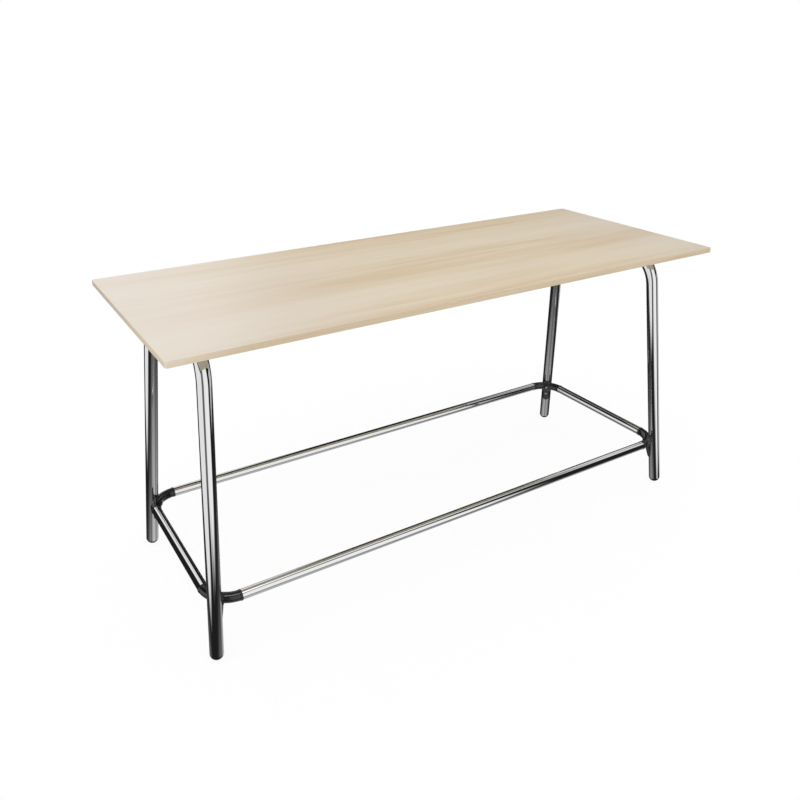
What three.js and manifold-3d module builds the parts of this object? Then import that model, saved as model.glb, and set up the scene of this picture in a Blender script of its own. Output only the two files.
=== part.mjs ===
import * as THREE from 'three';
import { mergeVertices } from 'three/addons/utils/BufferGeometryUtils.js';
import Module from 'manifold-3d';

const wasm = await Module();
wasm.setup();

// Standing meeting table in millimetres: +Z up, +X along the top, floor at z = 0.

// Table top
const topLength = 2100;
const topWidth = 825;
const topHeight = 1053;
const topThickness = 18;
const topCornerRadius = 8;
const bandThickness = 2;
const bandChamfer = 0.8;

// Bent tube end frames
const legDiameter = 45;
const legWall = 2;
const legSplay = THREE.MathUtils.degToRad(6);
const legInsetFromEnd = 40.7;
const legInsetFromSide = 48.7;
const frameBendRadius = 125;

// Plates welded on the top run of each frame
const plateLength = 100;
const plateWidth = 46;
const plateThickness = 5;
const plateCornerRadius = 8;
const plateSpacing = 196;
const weldSeatDepth = 1;

// Stiffening channels under the top
const channelEndGap = 31;
const channelWidth = 40;
const channelDepth = 24;
const channelSheet = 2;
const channelSpacing = 300;
const channelScrewInset = 70;

// Footrest tubes
const railDiameter = 35;
const railWall = 1.5;
const railHeight = 202;
const railOutset = 7;

// Moulded corner connectors
const elbowBendRadius = 93;
const collarStep = 1.2;
const collarLength = 6;
const collarChamfer = 0.8;
const spigotLength = 32;
const spigotRib = 5;
const spigotChamfer = 3;
const tailLength = 89;
const tailTopRadius = 20;
const tailTipRadius = 17;
const tailTopThickness = 19;
const tailTipThickness = 3;
const tailFlare = 2.4;
const tailFlareWaist = 0.8;
const tailFlareLength = 9;
const upperScrewDrop = -4;
const lowerScrewDrop = 40;
const upperScrewRecess = 3;
const lowerScrewRecess = 3.5;

// Screws
const frameScrewDiameter = 6;
const frameScrewHead = 12;
const frameScrewHeadHeight = 3.6;
const frameScrewReach = 5;
const woodScrewDiameter = 4;
const woodScrewHead = 8.4;
const woodScrewHeadHeight = 2.8;
const woodScrewReach = 12;
const socketShare = 0.42;
const socketDepthShare = 0.6;
const socketSides = 6;

// Levelling glides
const glideDiameter = 43.5;
const glideDomeHeight = 16.5;
const glideRimHeight = 1.5;
const stemDiameter = 8;
const stemLength = 44.5;
const stemGrip = 8;
const insertLength = 28;
const insertBarbDepth = 1;
const insertBarbs = 3;

// Fits
const nestGap = 0.25;
const seatGap = 0.2;
const threadGap = 0.15;
const runningGap = 0.08;

// Facets
const tubeSides = 20;
const mouldedSides = 16;
const smallSides = 12;
const screwSides = 8;
const bendSteps = 6;
const elbowSteps = 7;
const domeSteps = 3;
const glideDomeSteps = 4;
const cornerSteps = 2;
const topCornerSteps = 3;
const weldDistance = 1e-4;

// Sizes that follow from the ones above
const legRadius = legDiameter / 2;
const legBore = legRadius - legWall;
const railRadius = railDiameter / 2;
const splaySlope = Math.tan(legSplay);
const legLean = Math.atan(splaySlope * Math.SQRT2);
const legFloorX = topLength / 2 - legInsetFromEnd;
const legFloorY = topWidth / 2 - legInsetFromSide;
const undersideHeight = topHeight - topThickness;
const plateBottom = undersideHeight - plateThickness;
const runHeight = plateBottom + weldSeatDepth - legRadius;
const runX = legFloorX - runHeight * splaySlope;
const channelLength = 2 * (runX - legRadius - channelEndGap);
const channelScrewX = channelLength / 2 - channelScrewInset;
const railX = legFloorX - railHeight * splaySlope + railOutset;
const railY = legFloorY - railHeight * splaySlope + railOutset;
const elbowMiddle = elbowBendRadius * (Math.SQRT2 - 1) - railOutset * Math.SQRT2;
const elbowCentre = elbowMiddle + elbowBendRadius;
const plateScrewOffset = (legRadius + plateLength / 2) / 2;
const tailTopOffset = legRadius + tailTopThickness - tailTopRadius;
const tailTipOffset = legRadius + tailTipThickness - tailTipRadius;
const upperSeat = elbowMiddle + railRadius - upperScrewRecess;
const lowerSeat = tailOffsetAt(lowerScrewDrop) + tailRadiusAt(lowerScrewDrop) - lowerScrewRecess;
const screwTip = legBore - frameScrewReach;
const glideRadius = glideDiameter / 2;
const glideDomeRadius = (glideRadius ** 2 + glideDomeHeight ** 2) / (2 * glideDomeHeight);
const glideDomeReach = 2 * Math.atan(glideDomeHeight / glideRadius);
const glideDomeCentre = glideDomeRadius / Math.cos(legLean);
const glideHeight = glideDomeCentre - glideDomeRadius * Math.cos(glideDomeReach) + glideRimHeight;

const corners = [
  { name: 'front_left', x: -1, y: -1 },
  { name: 'rear_left', x: -1, y: 1 },
  { name: 'front_right', x: 1, y: -1 },
  { name: 'rear_right', x: 1, y: 1 },
];

const finishes = {
  laminate: { color: 0xd9cbb2, roughness: 0.45, metalness: 0 },
  edging: { color: 0xcfb995, roughness: 0.5, metalness: 0 },
  chrome: { color: 0xd4d6d8, roughness: 0.08, metalness: 1 },
  zinc: { color: 0xb4b7ba, roughness: 0.32, metalness: 1 },
  coated: { color: 0x2b2c2e, roughness: 0.55, metalness: 0.2 },
  plastic: { color: 0x1b1b1c, roughness: 0.48, metalness: 0 },
};

const table = new THREE.Group();
table.name = 'standing_meeting_table';

// A path given by its stations, so straight runs take one step and bends take many.
class StationPath extends THREE.Curve {
  constructor(points, tangents) {
    super();
    this.points = points;
    this.tangents = tangents;
  }

  stationAt(fraction) {
    return Math.round(fraction * (this.points.length - 1));
  }

  getPointAt(fraction, target = new THREE.Vector3()) {
    return target.copy(this.points[this.stationAt(fraction)]);
  }

  getTangentAt(fraction, target = new THREE.Vector3()) {
    return target.copy(this.tangents[this.stationAt(fraction)]);
  }
}

function signedVolume(positions, triangles) {
  const a = new THREE.Vector3();
  const b = new THREE.Vector3();
  const c = new THREE.Vector3();
  let total = 0;
  for (let i = 0; i < triangles.length; i += 3) {
    a.fromArray(positions, triangles[i] * 3);
    b.fromArray(positions, triangles[i + 1] * 3);
    c.fromArray(positions, triangles[i + 2] * 3);
    total += a.dot(b.cross(c));
  }
  return total;
}

// Closed solid from a geometry: welded, without collapsed triangles, faces outward.
function solidOf(geometry) {
  const bare = geometry.clone();
  bare.deleteAttribute('normal');
  bare.deleteAttribute('uv');
  const welded = mergeVertices(bare, weldDistance);
  const positions = Float32Array.from(welded.attributes.position.array);
  const corner = welded.index.array;
  const triangles = [];
  for (let i = 0; i < corner.length; i += 3) {
    const [a, b, c] = [corner[i], corner[i + 1], corner[i + 2]];
    if (a !== b && b !== c && c !== a) {
      triangles.push(a, b, c);
    }
  }
  if (signedVolume(positions, triangles) < 0) {
    triangles.reverse();
  }
  const triVerts = Uint32Array.from(triangles);
  return new wasm.Manifold(new wasm.Mesh({ numProp: 3, vertProperties: positions, triVerts }));
}

function geometryOf(solid) {
  const mesh = solid.getMesh();
  const geometry = new THREE.BufferGeometry();
  geometry.setAttribute('position', new THREE.BufferAttribute(Float32Array.from(mesh.vertProperties), 3));
  geometry.setIndex(new THREE.BufferAttribute(Uint32Array.from(mesh.triVerts), 1));
  geometry.computeVertexNormals();
  return geometry;
}

function addPiece(name, finish, geometry) {
  const piece = new THREE.Mesh(geometry, new THREE.MeshStandardMaterial(finishes[finish]));
  piece.name = name;
  table.add(piece);
}

function circlePoints(radius, sides) {
  const points = [];
  for (let i = 0; i < sides; i += 1) {
    const angle = (2 * Math.PI * i) / sides;
    points.push(new THREE.Vector2(radius * Math.cos(angle), radius * Math.sin(angle)));
  }
  return points;
}

function ringShape(outerRadius, innerRadius, sides) {
  const shape = new THREE.Shape(circlePoints(outerRadius, sides));
  shape.holes.push(new THREE.Path(circlePoints(innerRadius, sides)));
  return shape;
}

function roundedRectangle(length, width, radius) {
  const x = length / 2 - radius;
  const y = width / 2 - radius;
  const quarter = Math.PI / 2;
  const shape = new THREE.Shape();
  shape.absarc(x, y, radius, 0, quarter);
  shape.absarc(-x, y, radius, quarter, 2 * quarter);
  shape.absarc(-x, -y, radius, 2 * quarter, 3 * quarter);
  shape.absarc(x, -y, radius, 3 * quarter, 4 * quarter);
  return shape;
}

function prism(shape, depth) {
  return new THREE.ExtrudeGeometry(shape, { depth, bevelEnabled: false, curveSegments: cornerSteps });
}

function alongPath(shape, path) {
  const steps = path.points.length - 1;
  return new THREE.ExtrudeGeometry(shape, { steps, extrudePath: path, bevelEnabled: false });
}

// Solid of revolution about +Z from [radius, height] pairs.
function turned(profile, sides) {
  const points = profile.map(([radius, height]) => new THREE.Vector2(radius, height));
  return new THREE.LatheGeometry(points, sides).rotateX(Math.PI / 2);
}

// Cylinder along +Z whose flats, not its corners, lie at the radius.
function bore(radius, from, to, sides) {
  const shape = new THREE.Shape(circlePoints(radius / Math.cos(Math.PI / sides), sides));
  return prism(shape, to - from).translate(0, 0, from);
}

// Frame of a corner at a height: origin on the leg axis, +X along the inward diagonal.
function cornerMatrix(corner, height) {
  const x = corner.x * (legFloorX - height * splaySlope);
  const y = corner.y * (legFloorY - height * splaySlope);
  const matrix = new THREE.Matrix4().makeTranslation(x, y, height);
  return matrix.multiply(new THREE.Matrix4().makeRotationZ(Math.atan2(-corner.y, -corner.x)));
}

// The corner frame leaned with the leg: +Z runs up the leg axis.
function legMatrix(corner, height) {
  return cornerMatrix(corner, height).multiply(new THREE.Matrix4().makeRotationY(legLean));
}

function legUp(corner) {
  return new THREE.Vector3(-corner.x * splaySlope, -corner.y * splaySlope, 1).normalize();
}

function tailShare(drop) {
  return Math.min(drop / (tailLength - tailTipRadius), 1);
}

function tailRadiusAt(drop) {
  return THREE.MathUtils.lerp(tailTopRadius, tailTipRadius, tailShare(drop));
}

function tailOffsetAt(drop) {
  return THREE.MathUtils.lerp(tailTopOffset, tailTipOffset, drop / tailLength);
}

function makeScrew(diameter, headDiameter, headHeight, length) {
  const shank = diameter / 2;
  const head = headDiameter / 2;
  const socket = headDiameter * socketShare / 2;
  const socketFloor = headHeight * (1 - socketDepthShare);
  const body = solidOf(turned([
    [0, headHeight],
    [head - headHeight / 2, headHeight],
    [head, headHeight / 2],
    [head, 0],
    [shank, 0],
    [shank, shank - length],
    [0, -length],
  ], screwSides));
  const hexagon = new THREE.Shape(circlePoints(socket, socketSides));
  const cut = prism(hexagon, headHeight).translate(0, 0, socketFloor);
  return geometryOf(body.subtract(solidOf(cut)));
}

function woodScrewPlaces() {
  const places = [];
  for (const side of [-1, 1]) {
    for (const end of [-1, 1]) {
      for (const edge of [-1, 1]) {
        const name = `plate_screw_${places.length + 1}`;
        const x = side * runX + edge * plateScrewOffset;
        places.push({ name, x, y: end * plateSpacing / 2, seat: plateBottom });
      }
    }
  }
  for (const side of [-1, 1]) {
    for (const step of [-1, 0, 1]) {
      const seat = undersideHeight - channelSheet;
      const name = `channel_screw_${side < 0 ? 'front' : 'rear'}_${step + 2}`;
      places.push({ name, x: step * channelScrewX, y: side * channelSpacing / 2, seat });
    }
  }
  return places;
}

// The top's outline, pulled in on all sides, as thick as the top; its arrises may be chamfered.
function topSlab(inset, chamfer) {
  const shape = roundedRectangle(topLength - 2 * inset, topWidth - 2 * inset, topCornerRadius - inset);
  const slab = new THREE.ExtrudeGeometry(shape, {
    depth: topThickness - 2 * chamfer,
    curveSegments: topCornerSteps,
    bevelEnabled: chamfer > 0,
    bevelSegments: 1,
    bevelThickness: chamfer,
    bevelSize: chamfer,
    bevelOffset: -chamfer,
  });
  return solidOf(slab.translate(0, 0, undersideHeight + chamfer));
}

function addTop() {
  let board = topSlab(bandThickness, 0);
  for (const place of woodScrewPlaces()) {
    const radius = woodScrewDiameter / 2 + threadGap;
    const pilot = bore(radius, place.seat, undersideHeight + woodScrewReach + threadGap, screwSides);
    board = board.subtract(solidOf(pilot.translate(place.x, place.y, 0)));
  }
  addPiece('top_board', 'laminate', geometryOf(board));
}

function halfSpace(x, y) {
  const side = 2 * topLength;
  return solidOf(new THREE.BoxGeometry(side, side, side).translate(x * topLength, y * topLength, topHeight));
}

// Edging cut from one ring: the front and rear strips go round the corners, the end strips are straight.
function addEdgeBands() {
  const ring = topSlab(0, bandChamfer).subtract(topSlab(bandThickness, 0));
  const straight = topWidth - 2 * topCornerRadius;
  const belt = new THREE.BoxGeometry(2 * topLength, straight, 2 * topLength);
  const middle = solidOf(belt.translate(0, 0, topHeight));
  const wrapped = ring.subtract(middle);
  const ends = ring.intersect(middle);
  for (const side of [-1, 1]) {
    const wrappedName = side < 0 ? 'edge_band_front' : 'edge_band_rear';
    const endName = side < 0 ? 'edge_band_left' : 'edge_band_right';
    addPiece(wrappedName, 'edging', geometryOf(wrapped.intersect(halfSpace(0, side))));
    addPiece(endName, 'edging', geometryOf(ends.intersect(halfSpace(side, 0))));
  }
}

// Half of a frame's axis, from the front foot to the end of its bend.
function halfFrameStations(side) {
  const corner = { x: side, y: -1 };
  const up = legUp(corner);
  const across = new THREE.Vector3(0, 1, 0);
  const floorPoint = new THREE.Vector3(side * legFloorX, -legFloorY, 0);
  const knee = floorPoint.clone().addScaledVector(up, runHeight / up.z);
  const angle = up.angleTo(across);
  const inward = across.clone().addScaledVector(up, -across.dot(up)).normalize();
  const start = knee.clone().addScaledVector(up, -frameBendRadius * Math.tan(angle / 2));
  const centre = start.clone().addScaledVector(inward, frameBendRadius);
  const points = [floorPoint.clone().addScaledVector(up, glideHeight + seatGap)];
  const tangents = [up.clone()];
  for (let i = 0; i <= bendSteps; i += 1) {
    const turn = (angle * i) / bendSteps;
    const radial = inward.clone().multiplyScalar(-Math.cos(turn)).addScaledVector(up, Math.sin(turn));
    const tangent = inward.clone().multiplyScalar(Math.sin(turn)).addScaledVector(up, Math.cos(turn));
    points.push(centre.clone().addScaledVector(radial, frameBendRadius));
    tangents.push(tangent);
  }
  return { points, tangents };
}

function framePath(side) {
  const front = halfFrameStations(side);
  const mirror = new THREE.Vector3(1, -1, 1);
  const rearPoints = front.points.map((point) => point.clone().multiply(mirror)).reverse();
  const rearTangents = front.tangents.map((tangent) => tangent.clone().multiply(mirror).negate()).reverse();
  return new StationPath([...front.points, ...rearPoints], [...front.tangents, ...rearTangents]);
}

function addFrames() {
  for (const side of [-1, 1]) {
    let tube = solidOf(alongPath(ringShape(legRadius, legBore, tubeSides), framePath(side)));
    for (const corner of corners.filter((item) => item.x === side)) {
      for (const drop of [upperScrewDrop, lowerScrewDrop]) {
        const hole = bore(frameScrewDiameter / 2 + threadGap, screwTip, legDiameter, screwSides);
        hole.rotateY(Math.PI / 2).translate(0, 0, -drop);
        tube = tube.subtract(solidOf(hole.applyMatrix4(legMatrix(corner, railHeight))));
      }
    }
    addPiece(side < 0 ? 'end_frame_left' : 'end_frame_right', 'chrome', geometryOf(tube));
  }
}

function makePlate() {
  const blank = prism(roundedRectangle(plateLength, plateWidth, plateCornerRadius), plateThickness);
  const seat = bore(legRadius + seatGap, -plateWidth, plateWidth, tubeSides).rotateX(Math.PI / 2);
  seat.translate(0, 0, weldSeatDepth - legRadius);
  let plate = solidOf(blank).subtract(solidOf(seat));
  for (const edge of [-1, 1]) {
    const hole = bore(woodScrewDiameter / 2 + nestGap, -plateThickness, 2 * plateThickness, screwSides);
    plate = plate.subtract(solidOf(hole.translate(edge * plateScrewOffset, 0, 0)));
  }
  return geometryOf(plate);
}

function addPlates() {
  const plate = makePlate();
  for (const corner of corners) {
    const x = corner.x * runX;
    const y = corner.y * plateSpacing / 2;
    addPiece(`mount_plate_${corner.name}`, 'chrome', plate.clone().translate(x, y, plateBottom));
  }
}

function makeChannel() {
  const half = channelWidth / 2;
  const section = new THREE.Shape([
    new THREE.Vector2(-half, 0),
    new THREE.Vector2(-half, -channelDepth),
    new THREE.Vector2(channelSheet - half, -channelDepth),
    new THREE.Vector2(channelSheet - half, -channelSheet),
    new THREE.Vector2(half - channelSheet, -channelSheet),
    new THREE.Vector2(half - channelSheet, -channelDepth),
    new THREE.Vector2(half, -channelDepth),
    new THREE.Vector2(half, 0),
  ]);
  const bar = prism(section, channelLength).translate(0, 0, -channelLength / 2);
  bar.rotateX(Math.PI / 2).rotateZ(Math.PI / 2);
  let channel = solidOf(bar);
  for (const step of [-1, 0, 1]) {
    const hole = bore(woodScrewDiameter / 2 + nestGap, -channelDepth, channelDepth, screwSides);
    channel = channel.subtract(solidOf(hole.translate(step * channelScrewX, 0, 0)));
  }
  return geometryOf(channel);
}

function addChannels() {
  const channel = makeChannel();
  for (const side of [-1, 1]) {
    const name = side < 0 ? 'stiffener_front' : 'stiffener_rear';
    addPiece(name, 'coated', channel.clone().translate(0, side * channelSpacing / 2, undersideHeight));
  }
}

function addWoodScrews() {
  for (const place of woodScrewPlaces()) {
    const length = undersideHeight - place.seat + woodScrewReach;
    const screw = makeScrew(woodScrewDiameter, woodScrewHead, woodScrewHeadHeight, length);
    screw.rotateX(Math.PI);
    addPiece(place.name, 'zinc', screw.translate(place.x, place.y, place.seat));
  }
}

function addRails() {
  const section = ringShape(railRadius, railRadius - railWall, tubeSides);
  const longRun = 2 * (railX - elbowBendRadius - seatGap);
  const shortRun = 2 * (railY - elbowBendRadius - seatGap);
  for (const side of [-1, 1]) {
    const long = prism(section, longRun).translate(0, 0, -longRun / 2).rotateY(Math.PI / 2);
    const short = prism(section, shortRun).translate(0, 0, -shortRun / 2).rotateX(Math.PI / 2);
    const longName = side < 0 ? 'footrest_tube_front' : 'footrest_tube_rear';
    const shortName = side < 0 ? 'footrest_tube_left' : 'footrest_tube_right';
    addPiece(longName, 'chrome', geometryOf(solidOf(long.translate(0, side * railY, railHeight))));
    addPiece(shortName, 'chrome', geometryOf(solidOf(short.translate(side * railX, 0, railHeight))));
  }
}

// Quarter bend that cuts the corner between two footrest tubes on the inner side of the leg.
function makeElbowBend() {
  const points = [];
  const tangents = [];
  const reach = Math.PI / 4 - collarLength / 2 / elbowBendRadius;
  for (let i = 0; i <= elbowSteps; i += 1) {
    const angle = Math.PI + THREE.MathUtils.lerp(-reach, reach, i / elbowSteps);
    const x = elbowCentre + elbowBendRadius * Math.cos(angle);
    points.push(new THREE.Vector3(x, elbowBendRadius * Math.sin(angle), 0));
    tangents.push(new THREE.Vector3(-Math.sin(angle), Math.cos(angle), 0));
  }
  const section = new THREE.Shape(circlePoints(railRadius, mouldedSides));
  return solidOf(alongPath(section, new StationPath(points, tangents)));
}

// End of the bend: a collar the tube butts against and a ribbed spigot inside the tube.
function makeElbowEnd() {
  const collarRadius = railRadius + collarStep;
  const collar = solidOf(turned([
    [0, -collarLength],
    [collarRadius - collarChamfer, -collarLength],
    [collarRadius, collarChamfer - collarLength],
    [collarRadius, 0],
    [0, 0],
  ], mouldedSides));
  const plugRadius = (railRadius - railWall) * Math.cos(Math.PI / tubeSides) - nestGap;
  const plug = solidOf(turned([
    [0, -collarLength / 2],
    [plugRadius, -collarLength / 2],
    [plugRadius, spigotLength - spigotChamfer],
    [plugRadius - spigotChamfer, spigotLength],
    [0, spigotLength],
  ], tubeSides));
  const span = 2 * railDiameter;
  const upright = solidOf(new THREE.BoxGeometry(spigotRib, span, span));
  const level = solidOf(new THREE.BoxGeometry(span, spigotRib, span));
  return collar.add(plug.intersect(upright.add(level)));
}

function placed(solid, origin, direction) {
  const turn = new THREE.Quaternion().setFromUnitVectors(new THREE.Vector3(0, 0, 1), direction);
  const matrix = new THREE.Matrix4().compose(origin, turn, new THREE.Vector3(1, 1, 1));
  return solidOf(geometryOf(solid).applyMatrix4(matrix));
}

// Tail that hugs the leg below the bend; it thins towards its rounded tip.
function makeTail() {
  const flareMiddle = railRadius;
  const flareStart = flareMiddle - tailFlareLength / 2;
  const flareEnd = flareMiddle + tailFlareLength / 2;
  const domeStart = tailLength - tailTipRadius;
  const profile = [[0, railRadius / 2], [tailTopRadius, railRadius / 2]];
  profile.push([tailRadiusAt(flareStart) + tailFlare, -flareStart]);
  profile.push([tailRadiusAt(flareMiddle) + tailFlareWaist, -flareMiddle]);
  profile.push([tailRadiusAt(flareEnd), -flareEnd]);
  for (let i = 0; i <= domeSteps; i += 1) {
    const angle = (Math.PI / 2) * (i / domeSteps);
    profile.push([tailTipRadius * Math.cos(angle), -domeStart - tailTipRadius * Math.sin(angle)]);
  }
  const tail = turned(profile, mouldedSides);
  tail.rotateY(Math.atan((tailTopOffset - tailTipOffset) / tailLength));
  tail.translate(tailTopOffset, 0, 0);
  return solidOf(tail.rotateY(legLean));
}

// Screw hole with a flat-bottomed recess, square to the leg axis.
function makeScrewRecess(drop, seat) {
  const hole = bore(frameScrewDiameter / 2 + nestGap, 0, legDiameter + seat, screwSides);
  const recess = bore(frameScrewHead / 2 + nestGap, seat, seat + legDiameter, smallSides);
  const cut = solidOf(hole).add(solidOf(recess));
  const geometry = geometryOf(cut).rotateY(Math.PI / 2).translate(0, 0, -drop);
  return solidOf(geometry.rotateY(legLean));
}

function makeConnector() {
  const half = elbowBendRadius * Math.SQRT1_2;
  let body = makeElbowBend();
  const end = makeElbowEnd();
  for (const side of [-1, 1]) {
    const origin = new THREE.Vector3(elbowCentre - half, side * half, 0);
    const direction = new THREE.Vector3(Math.SQRT1_2, side * Math.SQRT1_2, 0);
    body = body.add(placed(end, origin, direction));
  }
  const legCut = bore(legRadius + nestGap, -2 * tailLength, 2 * tailLength, tubeSides).rotateY(legLean);
  body = body.add(makeTail()).subtract(solidOf(legCut));
  body = body.subtract(makeScrewRecess(upperScrewDrop, upperSeat));
  return geometryOf(body.subtract(makeScrewRecess(lowerScrewDrop, lowerSeat)));
}

function addConnectors() {
  const connector = makeConnector();
  const screws = [
    { name: 'upper', drop: upperScrewDrop, seat: upperSeat },
    { name: 'lower', drop: lowerScrewDrop, seat: lowerSeat },
  ];
  for (const corner of corners) {
    const place = cornerMatrix(corner, railHeight);
    addPiece(`corner_connector_${corner.name}`, 'plastic', connector.clone().applyMatrix4(place));
    for (const screw of screws) {
      const length = screw.seat - screwTip;
      const body = makeScrew(frameScrewDiameter, frameScrewHead, frameScrewHeadHeight, length);
      body.translate(0, 0, screw.seat + seatGap).rotateY(Math.PI / 2).translate(0, 0, -screw.drop);
      body.applyMatrix4(legMatrix(corner, railHeight));
      addPiece(`connector_screw_${screw.name}_${corner.name}`, 'zinc', body);
    }
  }
}

// Domed foot that meets the floor at one ring of its sphere when the leg leans.
function makeGlide() {
  const angles = [0, legLean];
  for (let i = 1; i <= glideDomeSteps; i += 1) {
    angles.push(THREE.MathUtils.lerp(legLean, glideDomeReach, i / glideDomeSteps));
  }
  const profile = angles.map((angle) => [
    glideDomeRadius * Math.sin(angle),
    glideDomeCentre - glideDomeRadius * Math.cos(angle),
  ]);
  const pocket = stemDiameter / 2 + threadGap;
  profile.push([glideRadius, glideHeight]);
  profile.push([pocket, glideHeight]);
  profile.push([pocket, glideHeight - stemGrip]);
  profile.push([0, glideHeight - stemGrip]);
  return geometryOf(solidOf(turned(profile, mouldedSides)));
}

function makeStem() {
  const radius = stemDiameter / 2;
  const foot = glideHeight - stemGrip + threadGap;
  return geometryOf(solidOf(turned([
    [0, foot],
    [radius, foot],
    [radius, foot + stemLength - radius / 2],
    [radius / 2, foot + stemLength],
    [0, foot + stemLength],
  ], smallSides)));
}

// Plug pressed into the tube end, with barbs outside and the stem's thread inside.
function makeInsert() {
  const outer = legBore * Math.cos(Math.PI / tubeSides) - nestGap;
  const inner = stemDiameter / 2 + runningGap;
  const base = glideHeight + seatGap;
  const pitch = insertLength / insertBarbs;
  const profile = [[inner, base], [outer, base]];
  for (let i = 1; i <= insertBarbs; i += 1) {
    profile.push([outer - insertBarbDepth, base + pitch * i]);
    if (i < insertBarbs) {
      profile.push([outer, base + pitch * i]);
    }
  }
  profile.push([inner, base + insertLength]);
  profile.push([inner, base]);
  return geometryOf(solidOf(turned(profile, smallSides)));
}

function addFeet() {
  const glide = makeGlide();
  const stem = makeStem();
  const insert = makeInsert();
  for (const corner of corners) {
    const place = legMatrix(corner, 0);
    addPiece(`leg_insert_${corner.name}`, 'plastic', insert.clone().applyMatrix4(place));
    addPiece(`levelling_glide_${corner.name}`, 'plastic', glide.clone().applyMatrix4(place));
    addPiece(`levelling_stem_${corner.name}`, 'zinc', stem.clone().applyMatrix4(place));
  }
}

addTop();
addEdgeBands();
addFrames();
addPlates();
addChannels();
addWoodScrews();
addRails();
addConnectors();
addFeet();

export default table;
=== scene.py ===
"""Dresses a standing meeting table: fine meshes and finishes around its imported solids."""
import math
from collections import namedtuple

import bmesh
import bpy
import numpy as np
from bpy.props import FloatProperty, FloatVectorProperty, PointerProperty
from mathutils import Matrix, Vector


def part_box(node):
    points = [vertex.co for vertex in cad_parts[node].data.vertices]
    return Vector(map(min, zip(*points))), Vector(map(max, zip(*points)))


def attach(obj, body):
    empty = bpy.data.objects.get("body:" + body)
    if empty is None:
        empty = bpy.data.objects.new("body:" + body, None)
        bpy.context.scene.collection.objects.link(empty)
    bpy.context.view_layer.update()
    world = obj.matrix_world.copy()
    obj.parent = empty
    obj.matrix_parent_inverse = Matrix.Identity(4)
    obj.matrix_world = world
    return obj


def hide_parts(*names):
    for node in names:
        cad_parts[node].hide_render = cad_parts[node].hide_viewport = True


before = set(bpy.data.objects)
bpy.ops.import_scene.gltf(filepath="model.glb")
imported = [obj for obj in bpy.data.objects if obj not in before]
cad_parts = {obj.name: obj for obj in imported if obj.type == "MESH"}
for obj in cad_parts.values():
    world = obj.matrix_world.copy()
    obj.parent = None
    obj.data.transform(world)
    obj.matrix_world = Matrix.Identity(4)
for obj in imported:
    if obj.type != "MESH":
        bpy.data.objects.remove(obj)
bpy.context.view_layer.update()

bl_info = {
    "name": "Standing meeting table",
    "version": (1, 0, 0),
    "blender": (4, 5, 0),
    "location": "View3D > Sidebar > Table",
    "description": "Fine meshes and finishes for a standing meeting table with a footrest ring",
    "category": "Object",
}

MM = 0.001
DEGREES = 180.0 / math.pi
TABLE_BODY = "table"
CORNERS = {
    "front_left": (-1, -1),
    "rear_left": (-1, 1),
    "front_right": (1, -1),
    "rear_right": (1, 1),
}
LONG_SIDES = ("front", "rear")
PLATE_SCREWS = range(1, 9)
CHANNEL_SCREWS = range(1, 4)

# The curve between display colours and linear ones
DISPLAY_WHITE = 255.0
CURVE_TOE = 0.04045
CURVE_TOE_SLOPE = 12.92
CURVE_OFFSET = 0.055
CURVE_POWER = 2.4

# Fineness of the meshes
TUBE_SIDES = 72
SCREW_SIDES = 48
THREAD_SIDES = 36
THREAD_STEPS = 8
BEND_STEPS = 28
ARC_STEPS = 8
CORNER_STEPS = 16
SHARP_ANGLE = math.radians(32)
WELD_DISTANCE = 0.002 * MM
ALMOST_ZERO = 1e-6

# Sockets of a Mix node that mixes colours
MIX_FACTOR = 0
MIX_FIRST = 6
MIX_SECOND = 7
MIX_RESULT = 2

# Middle of a Noise node's values
NOISE_MIDDLE = 0.5


def linear(red, green, blue):
    """A display colour of 0 to 255 as the linear colour that a shader takes."""
    shares = np.array((red, green, blue)) / DISPLAY_WHITE
    low = shares / CURVE_TOE_SLOPE
    high = ((shares + CURVE_OFFSET) / (1.0 + CURVE_OFFSET)) ** CURVE_POWER
    return tuple(float(value) for value in np.where(shares <= CURVE_TOE, low, high))


def length(name, description, millimetres):
    """A length that a user can change, written in millimetres and kept in metres."""
    return FloatProperty(
        name=name, description=description, default=millimetres * MM, min=0.0, precision=5, unit="LENGTH"
    )


def colour(name, description, red, green, blue):
    """A colour that a user can change, written as a display colour."""
    start = linear(red, green, blue)
    return FloatVectorProperty(
        name=name, description=description, default=start, min=0.0, max=1.0, subtype="COLOR"
    )


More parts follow.
